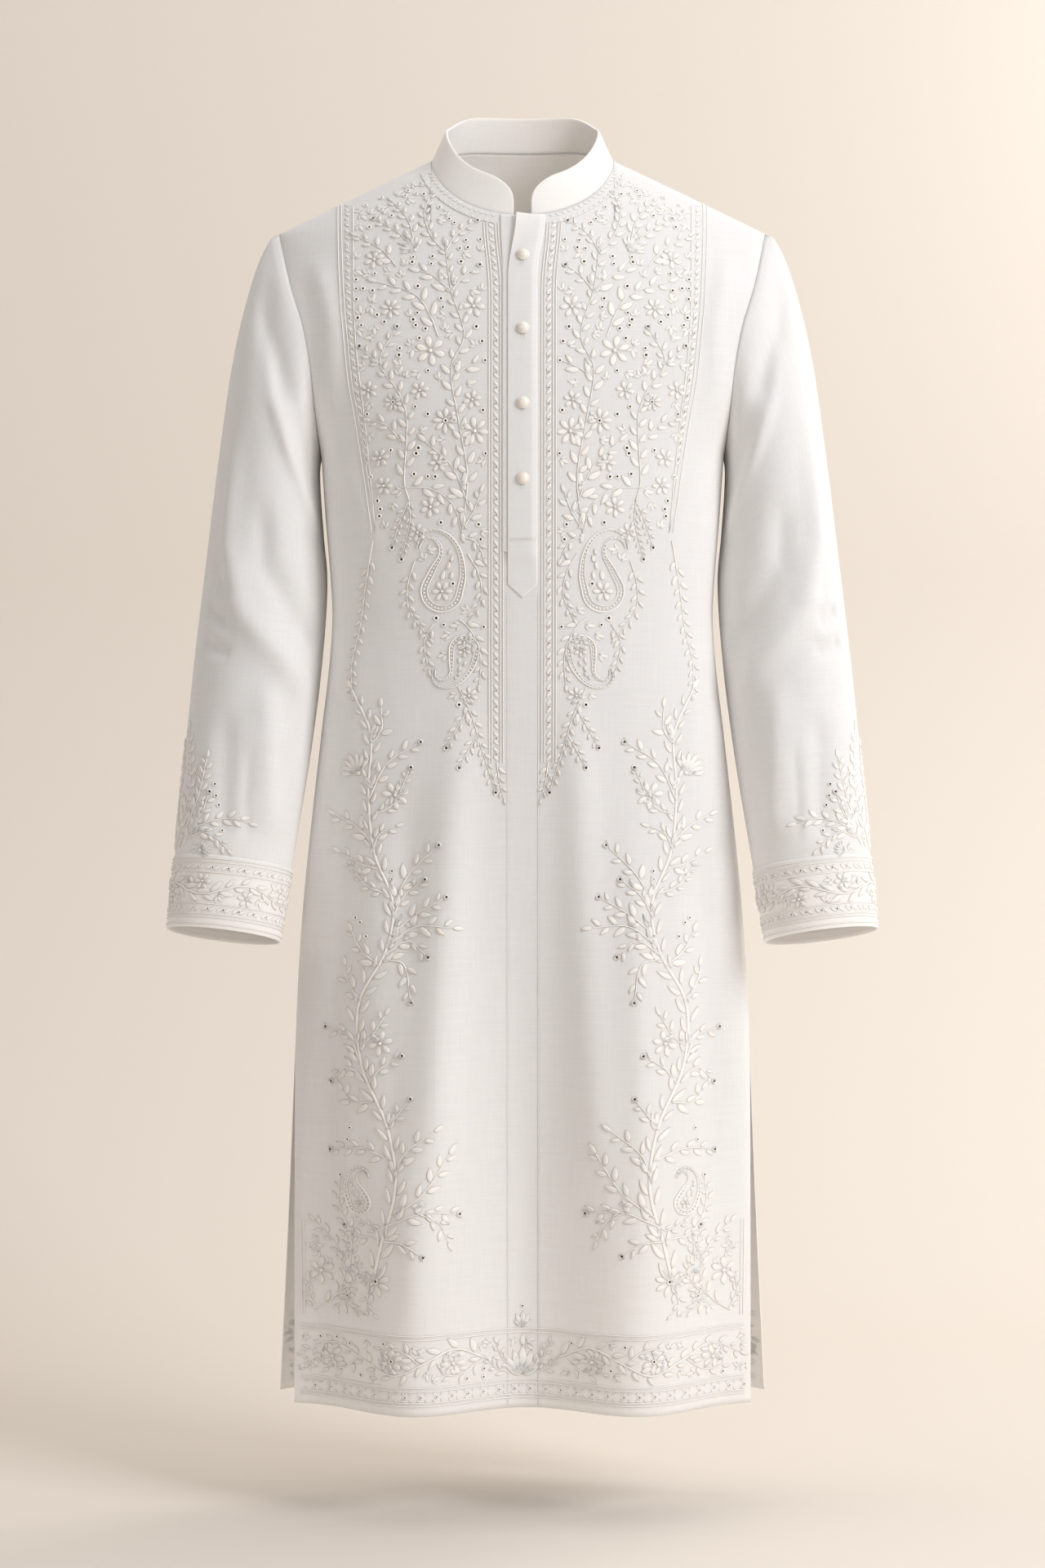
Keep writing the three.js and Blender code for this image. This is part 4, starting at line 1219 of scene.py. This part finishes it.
def field_between(left, right, top, bottom):
    return [(left, top), (right, top), (right, bottom), (left, bottom)]


def inside(polygon, x, z):
    found = False
    for (ax, az), (bx, bz) in zip(polygon, polygon[1:] + polygon[:1]):
        if (az > z) != (bz > z) and x < ax + (z - az) / (bz - az) * (bx - ax):
            found = not found
    return found


def taken_spots(work):
    """Points that the work already covers."""
    spots = []
    for _, x, z, angle, long, *_ in work["marks"]:
        spots += [(x + math.cos(angle) * long * t, z + math.sin(angle) * long * t) for t in (0.1, 0.5, 0.9)]
    for line, *_ in work["cords"]:
        spots += [tuple(p) for p in line]
    return spots


def scatter(work, polygon, tries, clear, seed, make):
    """Fills a field with small marks that keep clear of what is there, by seeded random draws."""
    draw = random.Random(seed)
    spots = np.array(taken_spots(work))
    across, up = zip(*polygon)
    for _ in range(tries):
        x, z = draw.uniform(min(across), max(across)), draw.uniform(min(up), max(up))
        if inside(polygon, x, z) and np.min(np.hypot(spots[:, 0] - x, spots[:, 1] - z)) > clear:
            make(x, z, draw)
            spots = np.concatenate([spots, [(x, z)]])


def small_twig(work, size):
    """A filler: a short curved twig with two or three leaves."""

    def make(x, z, draw):
        angle = draw.uniform(0, 2 * math.pi)
        for turn, share in ((0, 1.0), (0.8, 0.75), (-0.8, 0.75)):
            long = size * share * draw.uniform(0.8, 1.1)
            px, pz = x - math.cos(angle) * size * 0.4, z - math.sin(angle) * size * 0.4
            mark(work, LEAF, px, pz, angle + turn, long, long * 0.42, 0.8, bend=draw.uniform(-0.2, 0.2))

    return make


def mirrored(work):
    """The same work on the other side of the middle."""
    marks = [(s, -x, z, math.pi - angle, l, w, h, -bend) for s, x, z, angle, l, w, h, bend in work["marks"]]
    cords = [(line * (-1, 1), wide, high, thin) for line, wide, high, thin in work["cords"]]
    return {"marks": marks, "cords": cords}


def lay_both(name, work, lay, lay_left=None):
    """Lays a piece of work at the viewer's left, and its mirror image at the viewer's right."""
    lay_stitches(name + "_right", work, lay)
    lay_stitches(name + "_left", mirrored(work), lay_left or lay)


chest = new_work()
for row in CHEST_STEMS:
    sprig(chest, seen_path(row["path"]), row["leaf"], row["tip"])
for row in CHEST_FLOWERS:
    flower(chest, *seen(row["x"], row["z"]), row["radius"], row["petals"], chance.uniform(0, 1))
carnation(chest, *seen(-92, -76), 15, 2.2)
for row in PAISLEYS:
    paisley(chest, *seen(row["x"], row["z"]), row["bowl"], row["turn"], row["curl"])
field = [seen(x, z) for x, z in CHEST_FIELD]
scatter(chest, field, 420, 4.6, 5, lambda x, z, draw: eyelet(chest, x, z, draw.choice((4.2, 4.8, 5.4))))
scatter(chest, field, 2200, 6.0, 3, small_twig(chest, 9))
lay_front = lay_on("front")
lay_both("chest_jaal", chest, lay_front)


# The borders: narrow bands of slanted seeds and small eyelets between double cords, beside the placket, down
# the yoke and round the collar.
YOKE = table(
    "z outer inner",
    (-38, -158, -145), (-71, -158, -145), (-121, -156, -144.5), (-160, -152.5, -142.5), (-191, -149, -139),
    (-215, -144.5, -136), (-262, -137, -131), (-318, -129, -126),
)
BAND = {"lines": (-28.7, -26.2, -18.9, -16.5), "seeds": -22.5, "top": -52, "end": -515, "swing": 4.5}
BORDER_TAILS = table(
    "leaf pitch path",
    (8, None, [(-22, -515), (-20, -530), (-16, -546)]),
    (9, 6, [(-128, -325), (-134, -362), (-139, -400), (-146, -430), (-146, -456)]),
)
BORDER_CORD = (1.1, 0.8)
BORDER_PITCH = 6.6
YOKE_APART = {"cords": 3.2, "seeds": 1.4}
# The row round the collar: how far its seeds and its cord lie from the neckline, and the seeds' pitch and
# size.
RIM = {"seeds": 6.5, "cord": 10.5, "pitch": 5.5, "size": 3.4}
SEED_SLANT = 0.7


def seed_row(work, line, pitch, size, eyelets=True, paired=False):
    """Slanted seeds along a line, in pairs or one by one, with a small eyelet between each two."""
    line = smooth_path(line, 1.5)
    total = line_length(line)
    count = int(total / pitch)
    for number in range(count):
        point, angle = along_path(line, (number + 0.5) * total / count)
        for side in (-1, 1) if paired else ():
            px = point[0] - math.sin(angle) * side * size * 0.55
            pz = point[1] + math.cos(angle) * side * size * 0.55
            mark(work, LEAF, px, pz, angle + side * SEED_SLANT, size * 1.15, size * 0.62, 0.75)
        if not paired:
            px = point[0] - math.cos(angle + SEED_SLANT) * size
            pz = point[1] - math.sin(angle + SEED_SLANT) * size
            mark(work, LEAF, px, pz, angle + SEED_SLANT, size * 2, size * 0.95, 0.9)
        if eyelets and number % 2:
            eyelet(work, *along_path(line, (number + 0.98) * total / count)[0], 3.0)


def beside_placket(line_x):
    """A line beside the placket, which swings out with it at the neck."""
    heights = np.linspace(BAND["top"], BAND["end"], 40)
    lean = BAND["swing"] * smooth((heights + 110) / 60)
    return [seen(line_x - shift, z) for z, shift in zip(heights, lean)]


borders = new_work()
for line_x in BAND["lines"]:
    cord(borders, beside_placket(line_x), *BORDER_CORD, 1.0)
seed_row(borders, beside_placket(BAND["seeds"]), BORDER_PITCH, 3.3)
outer = [seen(row["outer"], row["z"]) for row in YOKE]
inner = [seen(row["inner"], row["z"]) for row in YOKE]
middle = [((a[0] + b[0]) / 2, (a[1] + b[1]) / 2) for a, b in zip(outer, inner)]
for line in (outer, [(x + YOKE_APART["cords"], z) for x, z in outer], inner):
    cord(borders, line, *BORDER_CORD, 0.8)
seed_row(borders, [(x + YOKE_APART["seeds"], z) for x, z in middle[:-1]], BORDER_PITCH, 3.2)
for row in BORDER_TAILS:
    sprig(borders, seen_path(row["path"]), row["leaf"], pitch=row["pitch"])
rim = np.array([level("front", x, float(neck_height(x))) for x in np.linspace(-76, -22, 28)])
along_rim = np.gradient(rim, axis=0)
away = unit(np.stack([along_rim[:, 1], -along_rim[:, 0]], -1))
away *= np.where(away[:, 1:] > 0, -1, 1)
seed_row(borders, rim + away * RIM["seeds"], RIM["pitch"], RIM["size"], eyelets=False, paired=True)
cord(borders, rim + away * RIM["cord"], 1.0, 0.8, 1.0)
lay_both("borders", borders, lay_front)


# The side vines: a waving stem down each side of the skirt with leaf sprays, flowers and buds, and a curved
# spray that stands at each end of the front's hem band.
VINE = [
    (-146, -453), (-130, -491), (-132, -539), (-127, -592), (-111, -636), (-117, -676), (-140, -721),
    (-138, -774), (-116, -828), (-109, -879), (-122, -932), (-131, -972),
]
VINE_TWIGS = table(
    "leaf tip path",
    (12, "leaf", [(-131, -500), (-121, -488), (-121, -468)]),
    (12, "bud", [(-132, -548), (-116, -516), (-90, -499)]),
    (8, "bud", [(-129, -560), (-112, -552), (-97, -522)]),
    (12, "leaf", [(-129, -584), (-142, -570), (-160, -560)]),
    (11, "leaf", [(-129, -592), (-122, -576), (-109, -570)]),
    (12, "leaf", [(-124, -606), (-138, -602), (-156, -592)]),
    (8, "bud", [(-116, -628), (-134, -620), (-146, -604)]),
    (13, "bud", [(-112, -640), (-98, -612), (-74, -588)]),
    (11, "bud", [(-112, -650), (-102, -630), (-86, -617)]),
    (12, "bud", [(-114, -664), (-92, -646), (-68, -632)]),
    (13, "leaf", [(-116, -674), (-92, -656), (-60, -657)]),
    (11, "bud", [(-118, -680), (-98, -668), (-83, -680)]),
    (12, "bud", [(-120, -684), (-102, -688), (-96, -718)]),
    (12, "leaf", [(-122, -690), (-138, -676), (-146, -660)]),
    (12, "leaf", [(-138, -720), (-150, -702), (-152, -690)]),
    (11, "bud", [(-140, -770), (-148, -750), (-166, -742)]),
    (10, "bud", [(-138, -784), (-150, -776), (-162, -786)]),
    (11, "leaf", [(-140, -760), (-128, -748), (-118, -732)]),
    (11, "bud", [(-132, -790), (-120, -776), (-106, -768)]),
    (12, "leaf", [(-128, -806), (-146, -806), (-154, -796)]),
    (10, "bud", [(-116, -830), (-106, -816), (-98, -806)]),
    (11, "bud", [(-114, -856), (-136, -846), (-162, -846)]),
    (13, "leaf", [(-110, -876), (-102, -852), (-76, -832)]),
    (14, "leaf", [(-113, -905), (-86, -886), (-63, -851)]),
    (13, "bud", [(-115, -912), (-86, -902), (-57, -902)]),
    (11, "leaf", [(-90, -902), (-72, -910), (-64, -926)]),
    (11, "bud", [(-120, -926), (-104, -928), (-88, -938)]),
    (8, "leaf", [(-115, -910), (-124, -916), (-138, -908)]),
    (9, "eyelet", [(-122, -924), (-144, -918), (-157, -894), (-156, -870)]),
    (9, "leaf", [(-128, -960), (-146, -950), (-146, -920)]),
    (8, "leaf", [(-130, -966), (-134, -980), (-128, -988)]),
)
VINE_FLOWERS = table(
    "x z radius petals",
    (-109, -543, 12, 7), (-122, -756, 11, 6), (-126, -960, 13, 8),
)
VINE_EYELETS = [
    (-139, -652), (-134, -664), (-143, -648), (-150, -838), (-148, -828), (-112, -608), (-112, -615),
    (-112, -622),
]
CORNER_TWIGS = table(
    "leaf tip path",
    (12, "leaf", [(-178, -984), (-160, -972), (-152, -950), (-160, -928), (-178, -908)]),
    (10, "leaf", [(-158, -970), (-146, -962), (-142, -944)]),
    (10, "bud", [(-154, -946), (-150, -930), (-152, -914)]),
    (9, "leaf", [(-158, -972), (-150, -980), (-140, -986)]),
    (8, "leaf", [(-176, -984), (-184, -966), (-180, -952)]),
)
CORNER_FIELD = [(-184, -925), (-165, -915), (-142, -935), (-140, -984), (-184, -984)]
CORNER_EDGE = [(-190, -906), (-189.5, -945), (-189, -988)]
vines = new_work()
sprig(vines, seen_path(VINE[::-1]), 17, pitch=9.5, stem=3.4, spread=0.6, slim=0.32, begin=0.01)
for row in VINE_TWIGS:
    sprig(vines, seen_path(row["path"]), row["leaf"] * 1.12, row["tip"], stem=1.6, begin=0.16)
for row in VINE_FLOWERS:
    flower(vines, *seen(row["x"], row["z"]), row["radius"], row["petals"], 0.3)
carnation(vines, *seen(-140, -524), 19, 2.1)
for x, z in VINE_EYELETS:
    eyelet(vines, *seen(x, z), 3.8)
paisley(vines, *seen(-140, -892), 10, 0.15, -1)
corner = new_work()
for row in CORNER_TWIGS:
    sprig(corner, seen_path(row["path"]), row["leaf"], row["tip"])
flower(corner, *seen(-172, -950), 12, 6, 0.5)
flower(corner, *seen(-150, -972), 7, 6, 0.2, "eyelet")
for shift in (0, 2.6):
    cord(corner, seen_path([(x + shift, z) for x, z in CORNER_EDGE]), 1.0, 0.7, 1.0)
scatter(corner, [seen(x, z) for x, z in CORNER_FIELD], 500, 5.5, 21, small_twig(corner, 8))
side_vine = {kind: vines[kind] + corner[kind] for kind in vines}
lay_both("side_vine", side_vine, lay_front)


# The sleeves' ends: a band of seeds, flowers and eyelets round each cuff, and a spray that climbs from it up
# the outer side of the sleeve. They are laid out on the flattened tube, with 0 at the outer side.
TUBE_RADIUS = 47
CUFF_LINES = (525, 528, 536.8, 563.2, 571.5, 574.2, 579.4)
CUFF_SEEDS = (532.4, 567.3)
CUFF_FIELD = (-538.5, -562)
CUFF_ROUND = 295
SPRAY_TWIGS = table(
    "leaf tip path",
    (13, "leaf", [(13, -518), (22, -496), (30, -470), (28, -440), (20, -413)]),
    (12, "leaf", [(31, -500), (40, -480), (44, -460), (46, -438)]),
    (12, "leaf", [(36, -508), (48, -497), (61, -491), (74, -489), (86, -491)]),
    (10, "leaf", [(38, -508), (50, -503), (62, -507), (72, -516)]),
    (12, "bud", [(30, -514), (40, -498), (48, -484), (51, -470)]),
    (12, "leaf", [(10, -512), (5, -485), (9, -455), (7, -428)]),
    (11, "leaf", [(9, -516), (-7, -500), (-14, -474)]),
)
SPRAY_EYELETS = [
    (55, -460), (57, -470), (60, -478), (36, -452), (18, -470), (16, -446), (38, -466), (0, -500), (66, -500),
]
SPRAY_FIELD = [(-6, -518), (54, -518), (44, -485), (20, -440), (2, -480)]


def lay_on_sleeve(hand, stands):
    """Lays flat work on a sleeve, standing out from it by the given distance."""

    def at(x, up):
        return sleeve_point(hand, -hand * x / TUBE_RADIUS, -up, stands)

    def lay(x, up, off):
        return at(x, up) + facing(at, x, up) * off[:, None]

    return lay


def cuff_band():
    work = new_work()
    round_cuff = np.linspace(0, 2 * math.pi * TUBE_RADIUS, 60)
    for along in CUFF_LINES:
        cord(work, [(x, -along) for x in round_cuff], 1.0, 0.75, 1.0)
    for along in CUFF_SEEDS:
        seed_row(work, [(x, -along) for x in round_cuff], 6.2, 3.2)
    centre = sum(CUFF_FIELD) / 2
    tall = (CUFF_FIELD[0] - CUFF_FIELD[1]) / 2
    waves = 8
    vine = [(x, centre + tall * 0.42 * math.sin(x / TUBE_RADIUS * waves / 2)) for x in round_cuff]
    sprig(work, vine, 13, pitch=6.8, stem=1.8, begin=0.0, spread=0.58, slim=0.36)
    for number in range(waves):
        x = 2 * math.pi * TUBE_RADIUS * (number + 0.5) / waves
        up = -1 if number % 2 == 0 else 1
        heart = "eyelet" if number % 3 == 0 else "seed"
        flower(work, x, centre + up * tall * 0.48, 7.5, 6, number, heart)
    field = field_between(0, CUFF_ROUND, *CUFF_FIELD)
    scatter(work, field, 3500, 4.6, 31, small_twig(work, 8.5))
    scatter(work, field, 300, 4.2, 32, lambda x, z, draw: eyelet(work, x, z, 4.2))
    return work


spray = new_work()
for row in SPRAY_TWIGS:
    sprig(spray, row["path"], row["leaf"], row["tip"], pitch=row["leaf"] * 0.5, slim=0.5)
for x, up in SPRAY_EYELETS:
    eyelet(spray, x, up, 4.0)
carnation(spray, 50, -519, 10, 0.3)
scatter(spray, SPRAY_FIELD, 300, 6, 41, small_twig(spray, 8))
lay_both("sleeve_spray", spray, lay_on_sleeve(-1, 0), lay_on_sleeve(1, 0))
for side, hand in HANDS.items():
    work = cuff_band() if side == "right" else mirrored(cuff_band())
    lay_stitches(f"cuff_band_stitches_{side}", work, lay_on_sleeve(hand, CUFF_STANDS))


# The hem: a band between double cords with a scrolling vine and a lotus at the middle, and a row of seeds
# below it, worked on the turned hem. The back's hem carries the same band.
HEM_REACH = {"front": 188, "back": 203}
HEM_LINES = (-991, -994.3, -1034, -1037.2, -1046.6, -1049.4)
HEM_FIELD = (-997, -1031)
HEM_SEEDS = -1041.9
HEM_CURL = [(0, 0), (0.3, -0.62), (0.62, -0.55), (0.6, 0.02)]
LOTUS = 31
LOTUS_PETALS = [
    (0, 25, 9), (0.5, 22, 8.5), (-0.5, 22, 8.5), (1.0, 21, 8), (-1.0, 21, 8), (1.42, 16, 6), (-1.42, 16, 6),
]


def hem_band(side, reach_x):
    """The hem's band, as far as reach_x to both sides of its middle."""
    work = new_work()
    xs = np.linspace(-reach_x, reach_x, 70)

    def on(x, z):
        return x, level(side, x * -OUT[side], z)[1]

    for z in HEM_LINES:
        cord(work, [on(x, z) for x in xs], 1.2, 0.85, 1.0)
    seed_row(work, [on(x, HEM_SEEDS) for x in xs], 6.4, 3.4, paired=True)
    centre = sum(HEM_FIELD) / 2
    tall = (HEM_FIELD[0] - HEM_FIELD[1]) / 2
    lobe = (reach_x - 4 - LOTUS) / 3
    for hand in (-1, 1):
        vine = [(LOTUS + lobe * k / 2, centre + tall * 0.62 * math.sin(math.pi * (k / 2))) for k in range(7)]
        path = [on(hand * x, z) for x, z in vine]
        sprig(work, path, 12, pitch=7.5, stem=2.0, begin=0.02, spread=0.85)
        for k in range(3):
            up = 1 if k % 2 == 0 else -1
            root_x = LOTUS + lobe * (k + 0.08)
            curl = [(root_x + lobe * u, centre + up * tall * v) for u, v in HEM_CURL]
            sprig(work, [on(hand * x, z) for x, z in curl], 10, pitch=6.5, stem=1.5, spread=0.9)
            heart = "eyelet" if k == 1 else "seed"
            place = on(hand * (root_x + lobe * 0.45), centre - up * tall * 0.08)
            flower(work, *place, 10.5, 6, 0.4 * k, heart)
    lotus(work, on, centre, tall)
    field = [on(x, z) for x, z in field_between(-reach_x, reach_x, *HEM_FIELD)]
    scatter(work, field, 1800, 5.6, 9, small_twig(work, 8))
    scatter(work, field, 260, 4.2, 10, lambda x, z, draw: eyelet(work, x, z, 3.8))
    return work


def lotus(work, on, centre, tall):
    """A lotus at the band's middle: a tall leaf between pairs that open sideways, and a sprig over it."""
    low = centre - tall * 0.92
    for turn, long, wide in LOTUS_PETALS:
        mark(work, LEAF, *on(0, low), math.pi / 2 + turn, long, wide, bend=-turn * 0.25)
    mark(work, LEAF, *on(0, centre + tall * 0.52), math.pi / 2, 9, 5)
    for hand in (-1, 1):
        for leaf, path in ((9, [(8, 6), (17, 14), (22, 27)]), (8, [(12, 2), (22, 6), (29, 14)])):
            sprig(work, [on(hand * x, low + z) for x, z in path], leaf, pitch=4.6)
    for turn, long in ((0, 13), (0.62, 12), (-0.62, 12), (1.2, 9), (-1.2, 9)):
        mark(work, LEAF, *on(0, HEM_LINES[0] + 2), math.pi / 2 + turn, long, long * 0.42, bend=-turn * 0.2)
    eyelet(work, *on(0, HEM_LINES[0] + 19), 3.6)
    cord(work, [on(0, HEM_LINES[0] + 1), on(0, HEM_LINES[0] + 7), on(0, HEM_LINES[0] + 13)], 1.3)


for side, reach_x in HEM_REACH.items():
    lay_stitches(f"hem_band_{side}", hem_band(side, reach_x), lay_on(side))


# Sewing: the placket's cross row above its tab, the buttonholes, and the two fine lines pressed into the
# front from the tab down to the hem.
CROSS_ROWS = (-330, -331.6)
BUTTONHOLE = {"top": 3.9, "end": -9.1, "half": 0.99}
PRESSED_LINES = (-12.4, 13.2)
sewing = new_work()
for z in CROSS_ROWS:
    row = [(x, z) for x in np.linspace(PLACKET["left"] + 0.8, PLACKET["right"] - 0.8, 8)]
    cord(sewing, row, 0.5, 0.22, 1.0)
for x, z in button_places():
    for shift in (-BUTTONHOLE["half"], BUTTONHOLE["half"]):
        heights = np.linspace(z + BUTTONHOLE["top"], z + BUTTONHOLE["end"], 6)
        cord(sewing, [(x + shift, height) for height in heights], 0.8, 0.35, 1.0)
lay_stitches("placket_sewing", sewing, on_placket)
pressed_lines = new_work()
for line_x in PRESSED_LINES:
    heights = np.linspace(PLACKET["square"] - 8, HEM_Z + 2, 60)
    cord(pressed_lines, [level("front", line_x, z) for z in heights], 1.4, 0.3, 1.0)
lay_stitches("pressed_lines", pressed_lines, lay_front, lawn)
